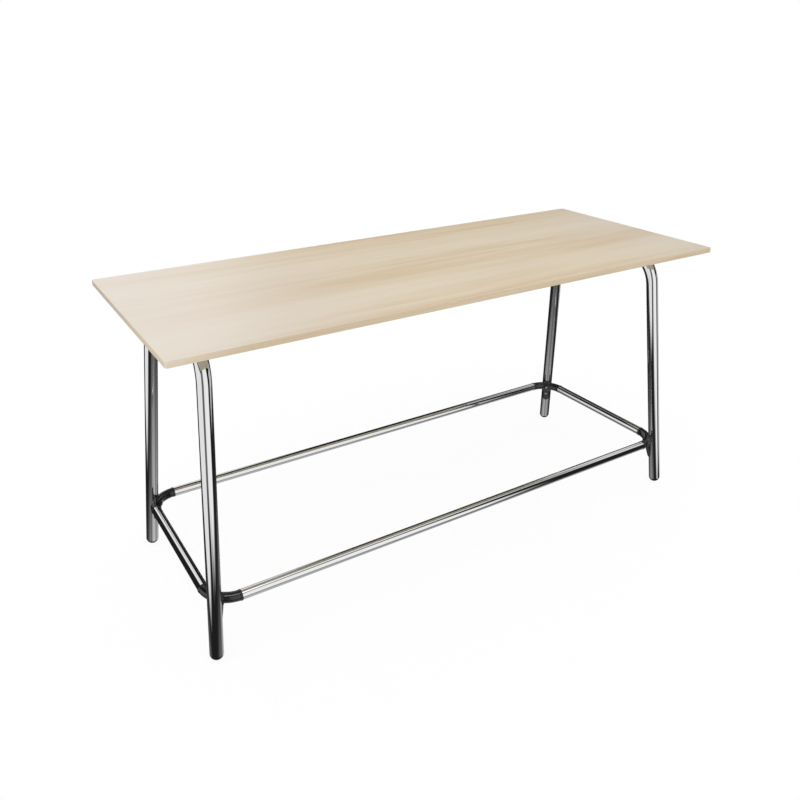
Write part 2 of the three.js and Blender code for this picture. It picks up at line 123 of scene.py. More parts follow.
class TableSizes(bpy.types.PropertyGroup):
    """Sizes of the pieces that the boxes of the solids do not give"""

    leg_diameter: length("Leg diameter", "Outside of the bent tube", 45)
    leg_wall: length("Leg wall", "Wall of the bent tube", 2)
    leg_splay: FloatProperty(
        name="Leg splay",
        description="Lean of a leg seen from the front and from the side",
        default=math.radians(6),
        subtype="ANGLE",
    )
    foot_spread_long: length("Foot spread, long", "Between leg axes on the floor, along the top", 2018.6)
    foot_spread_short: length("Foot spread, short", "Between leg axes on the floor, across the top", 727.6)
    run_height: length("Run height", "Height of the tube axis under the top", 1008.5)
    tube_gap: length("Tube gap", "Between a levelling glide and the end of its leg", 0.2)
    frame_bend_radius: length("Frame bend", "Bend radius of the tube axis", 125)
    tube_arris: length("Tube arris", "Rounding of a cut tube end", 0.4)
    rail_wall: length("Footrest wall", "Wall of the footrest tubes", 1.5)
    rail_outset: length("Footrest outset", "Footrest axis outside the leg axis", 7)
    arris_radius: length("Edging arris", "Rounding of the edging", 1.1)
    edging_end: length("Edging end", "Rounding of the edging's cut ends", 0.15)
    plate_corner: length("Plate corner", "Corner radius of a weld plate", 8)
    plate_arris: length("Plate arris", "Rounding of a weld plate's edges", 0.5)
    weld_seat: length("Weld seat", "Depth of the tube in the weld plate", 1)
    weld_bead: length("Weld bead", "Radius of a weld bead", 2.2)
    weld_ripple: length("Weld ripple", "Length of one ripple of a weld bead", 2.6)
    channel_sheet: length("Channel sheet", "Sheet of the stiffening channels", 2)
    channel_bend: length("Channel bend", "Inside bend radius of the channels", 1.5)
    elbow_bend_radius: length("Elbow bend", "Bend radius of a corner connector", 93)
    collar_step: length("Collar step", "Collar outside the connector's bend", 1.2)
    collar_length: length("Collar length", "Length of a connector's collar", 6)
    spigot_length: length("Spigot length", "Length of the ribs inside a footrest tube", 32)
    spigot_rib: length("Spigot rib", "Thickness of those ribs", 5)
    spigot_gap: length("Spigot gap", "Clearance of those ribs in the tube", 0.45)
    tail_length: length("Tail length", "Connector's tail along the leg", 89)
    tail_top_radius: length("Tail top radius", "Radius of the tail at the bend", 20)
    tail_tip_radius: length("Tail tip radius", "Radius of the tail's rounded tip", 17)
    tail_top_thickness: length("Tail top thickness", "Tail outside the leg at the bend", 19)
    tail_tip_thickness: length("Tail tip thickness", "Tail outside the leg at its tip", 3)
    tail_flare: length("Tail flare", "Sweep of the tail into the bend", 2.4)
    tail_flare_length: length("Tail flare length", "Length of that sweep", 9)
    saddle_gap: length("Saddle gap", "Clearance of a connector on its leg", 0.25)
    upper_screw_recess: length("Upper recess", "Depth of the upper screw's recess", 3)
    lower_screw_recess: length("Lower recess", "Depth of the lower screw's recess", 3.5)
    upper_screw_rise: length("Upper screw rise", "Upper screw above the footrest axis", 4)
    lower_screw_drop: length("Lower screw drop", "Lower screw below the footrest axis", 40)
    recess_gap: length("Recess gap", "Clearance round a screw head", 0.25)
    screw_seat_gap: length("Screw seat", "Clearance under a screw head", 0.2)
    frame_screw: length("Connector screw", "Diameter of a connector screw", 6)
    frame_screw_head: length("Connector screw head", "Head of a connector screw", 12)
    frame_screw_head_height: length("Connector head height", "Height of that head", 3.6)
    frame_screw_pitch: length("Connector screw pitch", "Thread pitch of a connector screw", 1.6)
    frame_screw_reach: length("Connector screw reach", "Screw inside the leg's wall", 5)
    wood_screw: length("Wood screw", "Diameter of a wood screw", 4)
    wood_screw_head: length("Wood screw head", "Head of a wood screw", 8.4)
    wood_screw_head_height: length("Wood head height", "Height of that head", 2.8)
    wood_screw_pitch: length("Wood screw pitch", "Thread pitch of a wood screw", 1.8)
    glide_diameter: length("Glide diameter", "Outside of a levelling glide", 43.5)
    glide_dome_height: length("Glide dome", "Height of a glide's dome along the leg", 16.5)
    glide_rim: length("Glide rim", "Straight rim above the dome", 1.5)
    glide_arris: length("Glide arris", "Rounding of a glide's rim", 0.6)
    stem_diameter: length("Stem diameter", "Thread of a glide's stem", 8)
    stem_length: length("Stem length", "Length of a glide's stem", 44.5)
    stem_grip: length("Stem grip", "Stem moulded into the glide", 8)
    stem_pitch: length("Stem pitch", "Thread pitch of a stem", 1.25)
    stem_gap: length("Stem gap", "Clearance of the stem in its glide", 0.15)
    plug_length: length("Plug length", "Plug in a leg's end", 28)
    plug_barb: length("Plug barb", "Depth of a plug's barbs", 1)
    plug_gap: length("Plug gap", "Clearance of a plug in its tube", 0.5)
    plug_thread_gap: length("Plug thread gap", "Clearance of a stem in its plug", 0.08)


class TableColours(bpy.types.PropertyGroup):
    """Colours of the finishes"""

    wood_pale: colour("Pale wood", "Pale bands of the wood decor", 240, 229, 209)
    wood_tan: colour("Tan wood", "Tan streaks of the wood decor", 221, 197, 161)
    wood_pore: colour("Wood pores", "Short dark pores of the wood decor", 190, 167, 135)
    # Painted sheen: a whiter colour that pales the decor towards both ends of the board
    painted_wood_sheen: colour("Faded wood", "Wood decor faded towards the ends of the board", 222, 213, 204)
    # Painted shade: the backing's colours are darkened for the shade under the board
    shaded_backing: colour("Backing", "Plain paper backing under the board", 181, 173, 150)
    shaded_backing_flecks: colour("Backing flecks", "Flecks of that backing", 165, 156, 133)
    edging_pale: colour("Pale edging", "Pale streaks of the edging", 210, 193, 166)
    edging_tan: colour("Tan edging", "Tan streaks of the edging", 194, 173, 143)
    # Painted sheen: a paler, greyer colour for the edging towards the left end
    painted_edging_sheen: colour("Faded edging", "Edging faded towards the left end", 216, 203, 184)
    chrome: colour("Chrome", "Polished chrome plate", 240, 240, 240)
    zinc: colour("Zinc", "Bright zinc plate of the screws", 214, 215, 216)
    zinc_dull: colour("Dull zinc", "Dull spots of the zinc plate", 172, 174, 174)
    coating: colour("Coating", "Powder coat of the channels", 58, 59, 61)
    plastic: colour("Plastic", "Black moulded plastic", 17, 17, 18)
    sole: colour("Glide", "Dull black plastic of the glides", 10, 10, 11)
    plastic_worn: colour("Worn plastic", "Rubbed black plastic", 30, 30, 31)


class StageSettings(bpy.types.PropertyGroup):
    """Camera, floor and light"""

    camera_place: FloatVectorProperty(
        name="Camera place",
        description="Where the camera stands",
        default=(-1.48377, -2.22604, 1.81234),
        subtype="TRANSLATION",
        unit="LENGTH",
    )
    camera_turn: FloatVectorProperty(
        name="Camera turn",
        description="Pitch, roll and yaw of the camera",
        default=(math.radians(63.972), 0.0, math.radians(-31.965)),
        subtype="EULER",
    )
    camera_lens: FloatProperty(
        name="Lens", description="Focal length on a 36 mm sensor, in millimetres", default=34.45
    )
    floor_size: length("Floor size", "Side of the floor", 80000)
    floor_colour: colour("Floor", "Plain pale floor", 250, 250, 250)
    floor_share: FloatProperty(
        name="Floor share",
        description="Share of the floor's own shading, with its shadow, over the white backdrop",
        default=0.09,
        subtype="FACTOR",
    )
    ambient: FloatProperty(name="Ambient", description="Even light from all sides", default=0.86)
    key: FloatProperty(name="Key", description="Strength of the soft key lamp", default=1.0)
    key_spread: FloatProperty(
        name="Key spread",
        description="Angle that the key lamp covers, seen from the table",
        default=math.radians(70),
        subtype="ANGLE",
    )
    key_turn: FloatVectorProperty(
        name="Key turn",
        description="Direction of the key lamp",
        default=(math.radians(27), math.radians(-38), 0.0),
        subtype="EULER",
    )


# Shader graphs


class Value:
    """A node's output that can stand in an arithmetic expression."""

    def __init__(self, graph, socket):
        self.graph = graph
        self.socket = socket

    def __add__(self, other):
        return self.graph.math("ADD", self, other)

    def __radd__(self, other):
        return self.graph.math("ADD", other, self)

    def __sub__(self, other):
        return self.graph.math("SUBTRACT", self, other)

    def __rsub__(self, other):
        return self.graph.math("SUBTRACT", other, self)

    def __mul__(self, other):
        return self.graph.math("MULTIPLY", self, other)

    def __rmul__(self, other):
        return self.graph.math("MULTIPLY", other, self)

    def __abs__(self):
        return self.graph.math("ABSOLUTE", self)

    def sibling(self, name):
        """Another output of the same node."""
        return Value(self.graph, self.socket.node.outputs[name])

    def smooth(self, low, high):
        """Goes smoothly from 0 at low to 1 at high."""
        settings = {"interpolation_type": "SMOOTHSTEP"}
        sockets = {"Value": self, "From Min": low, "From Max": high}
        return self.graph.add("ShaderNodeMapRange", settings, sockets)

    def swing(self, reach):
        """Noise of 0 to 1 as a swing to both sides of 0."""
        return (self - NOISE_MIDDLE) * reach


class Graph:
    """The node tree of a material or of the world."""

    def __init__(self, owner):
        self.owner = owner
        owner.use_nodes = True
        self.tree = owner.node_tree
        self.tree.nodes.clear()

    def add(self, kind, settings=None, sockets=None, output=0):
        """Adds a node: its settings first, then the values or links of its sockets."""
        node = self.tree.nodes.new(kind)
        for name, value in (settings or {}).items():
            setattr(node, name, value)
        for name, value in (sockets or {}).items():
            if isinstance(value, Value):
                self.tree.links.new(value.socket, node.inputs[name])
            else:
                node.inputs[name].default_value = value
        return Value(self, node.outputs[output]) if len(node.outputs) else None

    def math(self, operation, *values):
        """A Math node on values and numbers."""
        return self.add("ShaderNodeMath", {"operation": operation}, dict(enumerate(values)))

    def mix(self, factor, first, second):
        """A colour between two colours."""
        sockets = {MIX_FACTOR: factor, MIX_FIRST: first, MIX_SECOND: second}
        return self.add("ShaderNodeMix", {"data_type": "RGBA"}, sockets, MIX_RESULT)

    def noise(self, place, stretch, detail=2.0, roughness=0.5, distortion=0.0):
        """Noise with that many features to the metre along X, Y and Z."""
        scaled = self.add("ShaderNodeVectorMath", {"operation": "MULTIPLY"}, {0: place, 1: stretch})
        sockets = {
            "Vector": scaled,
            "Scale": 1.0,
            "Detail": detail,
            "Roughness": roughness,
            "Distortion": distortion,
        }
        return self.add("ShaderNodeTexNoise", {}, sockets, "Fac")

    def bump(self, height, distance, strength):
        """A normal from a relief, with the distance that a height of 1 stands for."""
        sockets = {"Height": height, "Distance": distance, "Strength": strength}
        return self.add("ShaderNodeBump", {}, sockets, "Normal")

    def surface(self, sockets):
        """Ends a material in one Principled shader, and gives the material."""
        shader = self.add("ShaderNodeBsdfPrincipled", {}, sockets, "BSDF")
        self.add("ShaderNodeOutputMaterial", {}, {"Surface": shader})
        return self.owner


def opaque(rgb):
    """A colour with the alpha that a colour socket takes."""
    return (*rgb, 1.0)


def new_finish(name):
    """The graph of a new material, and the place of a point in its piece's own frame."""
    graph = Graph(bpy.data.materials.new(name))
    return graph, graph.add("ShaderNodeTexCoord", output="Object")


# Wood decor: places on the board in metres, and the shares of its parts in tone, roughness and relief
# Where and how far a painted sheen pales the decor towards both ends of the board
DECOR_SHEEN_LEFT = (-0.1, -1.1)
DECOR_SHEEN_RIGHT = (0.5, 1.5)
DECOR_SHEEN = 0.72
DECOR_BAND_PLACE = 0.15
DECOR_BAND_PITCH = 0.41
DECOR_BAND_WANDER = 5.0
DECOR_TONE = 0.52
DECOR_BAND_TONE = 0.14
DECOR_STREAK_TONE = 0.95
DECOR_STREAK_CALM = 0.4
DECOR_LINE_TONE = 0.42
DECOR_FIBRE_TONE = 0.18
DECOR_PORE_EDGE = (0.64, 0.74)
DECOR_PORE_ROWS = (0.45, 0.6)
DECOR_PORE_TINT = 0.22
DECOR_ROUGHNESS = 0.33
DECOR_LINE_ROUGHNESS = 0.12
DECOR_PORE_ROUGHNESS = 0.1
DECOR_FIBRE_RELIEF = 0.5
DECOR_LINE_RELIEF = 0.3
DECOR_PORE_RELIEF = 0.6
BACKING_FLECK_EDGE = (0.4, 0.7)
# Facing below which a face takes the backing with its painted shade
BACKING_AND_SHADE_FACING = (-0.6, -0.4)


def laminate_finish(colours):
    """Light wood decor on top, with streaks in its broad tan bands along X and a painted sheen paling it
    towards both ends, and a plain backing below whose colour is darkened with painted shade.
    """
    graph, place = new_finish("light_wood_decor")
    across = graph.add("ShaderNodeSeparateXYZ", {}, {"Vector": place}, "Y")
    along = across.sibling("X")
    # Painted sheen: the decor pales towards both ends of the board
    painted_sheen = along.smooth(*DECOR_SHEEN_LEFT) + along.smooth(*DECOR_SHEEN_RIGHT)
    wander = graph.noise(place, stretch=(0.8, 2.5, 2.5), detail=2.0)
    wave = (across - DECOR_BAND_PLACE) * (2.0 * math.pi / DECOR_BAND_PITCH)
    bands = graph.math("COSINE", wave + wander.swing(DECOR_BAND_WANDER))
    streak = graph.noise(place, stretch=(1.3, 24.0, 24.0), detail=4.0, roughness=0.6, distortion=0.2)
    line = graph.noise(place, stretch=(2.6, 150.0, 150.0), detail=4.0, roughness=0.65)
    fibre = graph.noise(place, stretch=(30.0, 1500.0, 1500.0), detail=2.0)
    vessel = graph.noise(place, stretch=(45.0, 900.0, 900.0), detail=1.0)
    streaks = streak.swing(DECOR_STREAK_TONE - bands * DECOR_STREAK_CALM)
    tone = DECOR_TONE + bands * DECOR_BAND_TONE + streaks
    tone = tone + line.swing(DECOR_LINE_TONE) + fibre.swing(DECOR_FIBRE_TONE)
    pores = vessel.smooth(*DECOR_PORE_EDGE) * line.smooth(*DECOR_PORE_ROWS)
    wood = graph.mix(tone.smooth(0.0, 1.0), opaque(colours.wood_tan), opaque(colours.wood_pale))
    wood = graph.mix(pores * DECOR_PORE_TINT, wood, opaque(colours.wood_pore))
    # Mixes in the painted sheen towards the ends
    wood = graph.mix(painted_sheen * DECOR_SHEEN, wood, opaque(colours.painted_wood_sheen))
    # Below: the backing, its colour darkened with painted shade for the underside
    fleck = graph.noise(place, stretch=(120.0, 160.0, 160.0), detail=4.0, roughness=0.7)
    flecks = fleck.smooth(*BACKING_FLECK_EDGE)
    shaded_backing = graph.mix(flecks, opaque(colours.shaded_backing), opaque(colours.shaded_backing_flecks))
    facing = graph.add("ShaderNodeNewGeometry", output="Normal")
    upward = graph.add("ShaderNodeSeparateXYZ", {}, {"Vector": facing}, "Z")
    relief = fibre * DECOR_FIBRE_RELIEF + line * DECOR_LINE_RELIEF - pores * DECOR_PORE_RELIEF
    return graph.surface(
        {
            "Base Color": graph.mix(upward.smooth(*BACKING_AND_SHADE_FACING), shaded_backing, wood),
            "Roughness": DECOR_ROUGHNESS + line.swing(DECOR_LINE_ROUGHNESS) + pores * DECOR_PORE_ROUGHNESS,
            "Specular IOR Level": 0.7,
            "Normal": graph.bump(relief, distance=0.03 * MM, strength=0.3),
        }
    )


# Edge strip: the same for its places and parts
# Where and how far a painted sheen pales the edging towards the left end
EDGING_SHEEN_LEFT = (-0.8, -1.12)
EDGING_SHEEN = 0.85
EDGING_TONE = 0.5
EDGING_PATCH_TONE = 1.2
EDGING_LINE_TONE = 0.8
EDGING_FIBRE_TONE = 0.3
EDGING_ROUGHNESS = 0.36
EDGING_LINE_ROUGHNESS = 0.14
EDGING_FIBRE_RELIEF = 0.5
EDGING_LINE_RELIEF = 0.5


def edging_finish(colours):
    """Edge strip in the same decor, with streaks along its run and a painted sheen paling it towards the left
    end of the table.
    """
    graph, place = new_finish("edge_strip_decor")
    patch = graph.noise(place, stretch=(2.0, 60.0, 60.0), detail=3.0, distortion=0.2)
    line = graph.noise(place, stretch=(6.0, 420.0, 420.0), detail=3.0, roughness=0.6)
    fibre = graph.noise(place, stretch=(60.0, 2600.0, 2600.0), detail=2.0)
    tone = EDGING_TONE + patch.swing(EDGING_PATCH_TONE)
    tone = tone + line.swing(EDGING_LINE_TONE) + fibre.swing(EDGING_FIBRE_TONE)
    strip = graph.mix(tone.smooth(0.0, 1.0), opaque(colours.edging_tan), opaque(colours.edging_pale))
    # Painted sheen: whiter towards the left end of the table, along world X
    spot = graph.add("ShaderNodeNewGeometry", output="Position")
    along = graph.add("ShaderNodeSeparateXYZ", {}, {"Vector": spot}, "X")
    painted_sheen = along.smooth(*EDGING_SHEEN_LEFT) * EDGING_SHEEN
    relief = fibre * EDGING_FIBRE_RELIEF + line * EDGING_LINE_RELIEF
    return graph.surface(
        {
            "Base Color": graph.mix(painted_sheen, strip, opaque(colours.painted_edging_sheen)),
            "Roughness": EDGING_ROUGHNESS + line.swing(EDGING_LINE_ROUGHNESS),
            "Specular IOR Level": 0.6,
            "Normal": graph.bump(relief, distance=0.03 * MM, strength=0.35),
        }
    )


# Chrome plate: where its marks show, and their shares in tint and roughness
CHROME_HAZE_EDGE = (0.5, 0.78)
CHROME_WIPE_EDGE = (0.45, 0.75)
CHROME_MARK_TINT = 0.1
CHROME_ROUGHNESS = 0.02
CHROME_HAZE_ROUGHNESS = 0.015
CHROME_MARK_ROUGHNESS = 0.05


def chrome_finish(colours):
    """Mirror plate with faint wiping marks."""
    graph, place = new_finish("polished_chrome")
    haze = graph.noise(place, stretch=(9.0, 9.0, 9.0), detail=4.0, roughness=0.6)
    wipe = graph.noise(place, stretch=(160.0, 160.0, 14.0), detail=3.0)
    marks = haze.smooth(*CHROME_HAZE_EDGE) * wipe.smooth(*CHROME_WIPE_EDGE)
    return graph.surface(
        {
            "Base Color": graph.mix(marks * CHROME_MARK_TINT, opaque(colours.chrome), opaque(colours.zinc)),
            "Metallic": 1.0,
            "Roughness": CHROME_ROUGHNESS + haze * CHROME_HAZE_ROUGHNESS + marks * CHROME_MARK_ROUGHNESS,
        }
    )


# Zinc plate: where it is dull, and the shares of its parts in roughness
ZINC_DULL_EDGE = (0.45, 0.7)
ZINC_ROUGHNESS = 0.24
ZINC_DULL_ROUGHNESS = 0.14
ZINC_GRAIN_ROUGHNESS = 0.06


def zinc_finish(colours):
    """Bright plate with a dull bloom."""
    graph, place = new_finish("bright_zinc")
    bloom = graph.noise(place, stretch=(420.0, 420.0, 420.0), detail=4.0, roughness=0.6)
    grain = graph.noise(place, stretch=(2600.0, 2600.0, 2600.0), detail=2.0)
    dull = bloom.smooth(*ZINC_DULL_EDGE)
    return graph.surface(
        {
            "Base Color": graph.mix(dull, opaque(colours.zinc), opaque(colours.zinc_dull)),
            "Metallic": 1.0,
            "Roughness": ZINC_ROUGHNESS + dull * ZINC_DULL_ROUGHNESS + grain * ZINC_GRAIN_ROUGHNESS,
            "Normal": graph.bump(grain, distance=0.01 * MM, strength=0.3),
        }
    )


# Powder coat: the shares of its parts in tint and roughness
COATING_CLOUD_TINT = 0.25
COATING_ROUGHNESS = 0.48
COATING_PEEL_ROUGHNESS = 0.12


def coating_finish(colours):
    """Powder coat with its fine orange peel."""
    graph, place = new_finish("dark_powder_coat")
    peel = graph.noise(place, stretch=(700.0, 700.0, 700.0), detail=2.0)
    cloud = graph.noise(place, stretch=(12.0, 30.0, 30.0), detail=3.0)
    clouds = cloud * COATING_CLOUD_TINT
    return graph.surface(
        {
            "Base Color": graph.mix(clouds, opaque(colours.coating), opaque(colours.plastic)),
            "Roughness": COATING_ROUGHNESS + peel * COATING_PEEL_ROUGHNESS,
            "Specular IOR Level": 0.45,
            "Normal": graph.bump(peel, distance=0.05 * MM, strength=0.5),
        }
    )


# Glides: wear is a share of the way from new to rubbed plastic
SOLE_WEAR_HEIGHT = 4.0 * MM
SOLE_SCUFF_EDGE = (0.52, 0.66)
SOLE_WEAR = 0.15
SOLE_FLOOR_WEAR = 0.6
SOLE_ROUGHNESS = 0.55
SOLE_GRAIN_ROUGHNESS = 0.12
SOLE_WEAR_POLISH = 0.1
SOLE_GRAIN_RELIEF = 0.6
SOLE_SCUFF_RELIEF = 0.4


def sole_finish(colours):
    """Dull black plastic of the glides, scuffed by the floor."""
    graph, place = new_finish("dull_black_sole")
    grain = graph.noise(place, stretch=(1800.0, 1800.0, 1800.0), detail=3.0, roughness=0.6)
    scuff = graph.noise(place, stretch=(260.0, 260.0, 900.0), detail=4.0, roughness=0.65)
    height = graph.add("ShaderNodeSeparateXYZ", {}, {"Vector": place}, "Z")
    low = height.smooth(SOLE_WEAR_HEIGHT, 0.0)
    worn = scuff.smooth(*SOLE_SCUFF_EDGE) * (SOLE_WEAR + low * SOLE_FLOOR_WEAR)
    relief = grain * SOLE_GRAIN_RELIEF + scuff * SOLE_SCUFF_RELIEF
    return graph.surface(
        {
            "Base Color": graph.mix(worn, opaque(colours.sole), opaque(colours.plastic_worn)),
            "Roughness": SOLE_ROUGHNESS + grain * SOLE_GRAIN_ROUGHNESS - worn * SOLE_WEAR_POLISH,
            "Specular IOR Level": 0.2,
            "Normal": graph.bump(relief, distance=0.03 * MM, strength=0.15),
        }
    )


# Black moulding: where it is rubbed, and the shares of its parts in tint and roughness
PLASTIC_RUB_EDGE = (0.52, 0.72)
PLASTIC_RUB_TINT = 0.5
PLASTIC_ROUGHNESS = 0.2
PLASTIC_RUB_POLISH = 0.05
PLASTIC_GRAIN_ROUGHNESS = 0.08


def plastic_finish(colours):
    """Black moulding with a fine eroded grain, rubbed in places."""
    graph, place = new_finish("black_moulding")
    grain = graph.noise(place, stretch=(2400.0, 2400.0, 2400.0), detail=3.0, roughness=0.6)
    flow = graph.noise(place, stretch=(45.0, 45.0, 45.0), detail=3.0)
    rubbed = flow.smooth(*PLASTIC_RUB_EDGE)
    wear = rubbed * PLASTIC_RUB_TINT
    return graph.surface(
        {
            "Base Color": graph.mix(wear, opaque(colours.plastic), opaque(colours.plastic_worn)),
            "Roughness": PLASTIC_ROUGHNESS - rubbed * PLASTIC_RUB_POLISH + grain * PLASTIC_GRAIN_ROUGHNESS,
            "Specular IOR Level": 0.75,
            "Normal": graph.bump(grain, distance=0.02 * MM, strength=0.1),
        }
    )


# Meshes


def circle(sides):
    """Angles of the points of a ring."""
    return np.arange(sides) * 2.0 * np.pi / sides


def ring(radius, height, sides):
    """A level ring round Z. The radius is one number, or one for each of its points."""
    angle = circle(sides)
    radii = np.broadcast_to(radius, angle.shape)
    return np.stack([radii * np.cos(angle), radii * np.sin(angle), np.full(sides, height)], axis=1)


def loft(rings, closed=False):
    """Quads between rings of points. An open row of rings is capped at both ends."""
    rings = np.asarray(rings)
    count, sides = rings.shape[:2]
    faces = []
    for i in range(count if closed else count - 1):
        first = i * sides
        second = (i + 1) % count * sides
        for j in range(sides):
            k = (j + 1) % sides
            faces.append((first + j, first + k, second + k, second + j))
    if not closed:
        faces.append(tuple(range(sides)))
        faces.append(tuple(range((count - 1) * sides, count * sides)))
    return rings.reshape(-1, 3), faces


def turned(profile, sides, closed=False):
    """A solid of revolution about Z from radius and height pairs."""
    return loft([ring(radius, height, sides) for radius, height in profile], closed)


def peg(radius, low, high, sides):
    """A plain round peg along Z, to cut holes with."""
    return turned([(radius, low), (radius, high)], sides)


def moved(shell, matrix):
    """A shell moved by a matrix."""
    points, faces = shell
    matrix = np.array(matrix)
    return points @ matrix[:3, :3].T + matrix[:3, 3], faces


def joined(shells):
    """Several shells as the points and faces of one mesh."""
    all_points = []
    all_faces = []
    start = 0
    for points, faces in shells:
        all_points.append(points)
        all_faces.extend(tuple(start + corner for corner in face) for face in faces)
        start += len(points)
    return np.concatenate(all_points), all_faces


def finished_mesh(mesh):
    """Welds a mesh, points its faces outward and shades it smooth between its arrises."""
    work = bmesh.new()
    work.from_mesh(mesh)
    bmesh.ops.remove_doubles(work, verts=work.verts, dist=WELD_DISTANCE)
    bmesh.ops.recalc_face_normals(work, faces=work.faces)
    work.to_mesh(mesh)
    work.free()
    mesh.shade_smooth()
    mesh.set_sharp_from_angle(angle=SHARP_ANGLE)
    return mesh


def mesh_of(name, shell):
    """A finished mesh from a shell's points and faces."""
    points, faces = shell
    mesh = bpy.data.meshes.new(name)
    mesh.from_pydata(points.tolist(), [], faces)
    return finished_mesh(mesh)


def modified(mesh, add_modifiers):
    """The mesh after the modifiers that a function adds to it."""
    work = bpy.data.objects.new("work", mesh)
    bpy.context.scene.collection.objects.link(work)
    add_modifiers(work)
    graph = bpy.context.evaluated_depsgraph_get()
    result = bpy.data.meshes.new_from_object(work.evaluated_get(graph))
    bpy.data.objects.remove(work)
    return result


def combined(mesh, operation, shells):
    """The mesh joined with, or cut by, each closed shell."""
    for shell in shells:
        tool = bpy.data.objects.new("tool", mesh_of("tool", shell))
        bpy.context.scene.collection.objects.link(tool)

        def add_boolean(work):
            step = work.modifiers.new("solid", "BOOLEAN")
            step.operation = operation
            step.solver = "EXACT"
            step.object = tool

        mesh = modified(mesh, add_boolean)
        bpy.data.objects.remove(tool)
    return mesh


def rounded_rectangle(width, height, radius):
    """Points of a rectangle with round corners, about the origin."""
    points = []
    for quarter in range(4):
        sx = 1 if quarter in (0, 3) else -1
        sy = 1 if quarter in (0, 1) else -1
        centre = (sx * (width / 2 - radius), sy * (height / 2 - radius))
        points.extend(arc(centre, radius, quarter * 90, quarter * 90 + 90))
    return np.array(points)


def arc(centre, radius, start, end):
    """Points of an arc in a plane, from one angle to another in degrees."""
    angles = np.radians(np.linspace(start, end, ARC_STEPS + 1))
    return [(centre[0] + radius * np.cos(a), centre[1] + radius * np.sin(a)) for a in angles]


def level_ring(outline, height):
    """An outline in X and Y at a height."""
    return np.column_stack([outline, np.full(len(outline), height)])


def upright_ring(outline, x):
    """An outline in Y and Z at a place along X."""
    return np.column_stack([np.full(len(outline), x), outline])


def tube(stations, side, outer, inner, arris):
    """A hollow tube along stations of point and direction. Side is square to all its directions."""
    angle = circle(TUBE_SIDES)[:, None]

    def section(point, along, radius):
        other = np.cross(along, side)
        return point + radius * (np.cos(angle) * side + np.sin(angle) * other)

    def skin(radius, turn_in):
        (first, start), (last, end) = stations[0], stations[-1]
        rows = [section(first, start, radius + turn_in), section(first + arris * start, start, radius)]
        rows.extend(section(point, along, radius) for point, along in stations[1:-1])
        rows.extend([section(last - arris * end, end, radius), section(last, end, radius + turn_in)])
        return rows

    return loft(skin(outer, -arris) + skin(inner, arris)[::-1], closed=True)


def thread_rings(core, crest, pitch, low, high, sides):
    """Rings of a shank with one helical ridge that runs out at both ends."""
    angle = circle(sides)
    count = max(2, round((high - low) / pitch * THREAD_STEPS))
    rings = []
    for height in np.linspace(low, high, count + 1):
        phase = (height / pitch - angle / (2.0 * np.pi)) % 1.0
        ridge = 1.0 - np.abs(2.0 * phase - 1.0)
        fade = min(1.0, (height - low) / pitch, (high - height) / pitch)
        rings.append(ring(core + (crest - core) * ridge * fade, height, sides))
    return rings


def hexagon_drive(across):
    """Radius of a hexagon socket at each point of a ring."""
    sector = np.pi / 3
    return across / 2 / np.cos(circle(SCREW_SIDES) % sector - sector / 2)


def cross_drive(span, slot):
    """Radius of a cross recess at each point of a ring."""
    angle = circle(SCREW_SIDES)
    nearest = np.minimum(np.abs(np.sin(angle)), np.abs(np.cos(angle)))
    return np.minimum(span / 2, slot / 2 / np.maximum(nearest, ALMOST_ZERO))


# Shares of a screw's shank, of its head and of its drive
SCREW_CORE = 0.74
SCREW_POINT = 0.12
HEAD_LIP = 0.3
HEAD_FLAT = 1.18
DRIVE_DEPTH = 0.42
DRIVE_FLOOR = 0.94
DRIVE_TIP = 0.1
DRIVE_TIP_DEPTH = 1.25
CROSS_SPAN = 0.52
CROSS_SLOT = 0.13
HEXAGON_ACROSS = 0.4


def screw(diameter, head, head_height, run, pitch, drive):
    """A screw along Z with the underside of its head at the origin."""
    shank = diameter / 2
    core = shank * SCREW_CORE
    crown = head / 2
    lip = head_height * HEAD_LIP
    flat = np.max(drive) * HEAD_FLAT
    dive = head_height * DRIVE_DEPTH
    rings = [ring(shank * SCREW_POINT, -run, SCREW_SIDES)]
    rings.extend(thread_rings(core, shank, pitch, shank - run, -lip, SCREW_SIDES))
    rings.append(ring(shank, 0.0, SCREW_SIDES))
    rings.append(ring(crown - lip / 3, 0.0, SCREW_SIDES))
    rings.append(ring(crown, lip / 3, SCREW_SIDES))
    for turn in np.linspace(0.0, np.pi / 2, ARC_STEPS):
        radius = flat + (crown - flat) * np.cos(turn)
        rings.append(ring(radius, lip + (head_height - lip) * np.sin(turn), SCREW_SIDES))
    rings.append(ring(drive, head_height, SCREW_SIDES))
    rings.append(ring(drive * DRIVE_FLOOR, head_height - dive, SCREW_SIDES))
    rings.append(ring(drive * DRIVE_TIP, head_height - dive * DRIVE_TIP_DEPTH, SCREW_SIDES))
    return loft(rings)


# Places


def leg_slope(sizes):
    """How far a leg goes inward along X, and along Y, for each metre up."""
    return math.tan(sizes.leg_splay)


def leg_lean(sizes):
    """Angle of a leg to the vertical, along the diagonal."""
    return math.atan(leg_slope(sizes) * math.sqrt(2))


def rail_height():
    """Height of the footrest tubes' axes."""
    low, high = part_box("footrest_tube_front")
    return (low.z + high.z) / 2


def rail_radius():
    """Outside radius of the footrest tubes."""
    low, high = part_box("footrest_tube_front")
    return (high.z - low.z) / 2


def corner_place(sizes, corner, height):
    """Frame with its origin on a leg's axis at a height and X along the inward diagonal."""
    side_x, side_y = CORNERS[corner]
    inset = height * leg_slope(sizes)
    x = side_x * (sizes.foot_spread_long / 2 - inset)
    y = side_y * (sizes.foot_spread_short / 2 - inset)
    return Matrix.Translation((x, y, height)) @ Matrix.Rotation(math.atan2(-side_y, -side_x), 4, "Z")


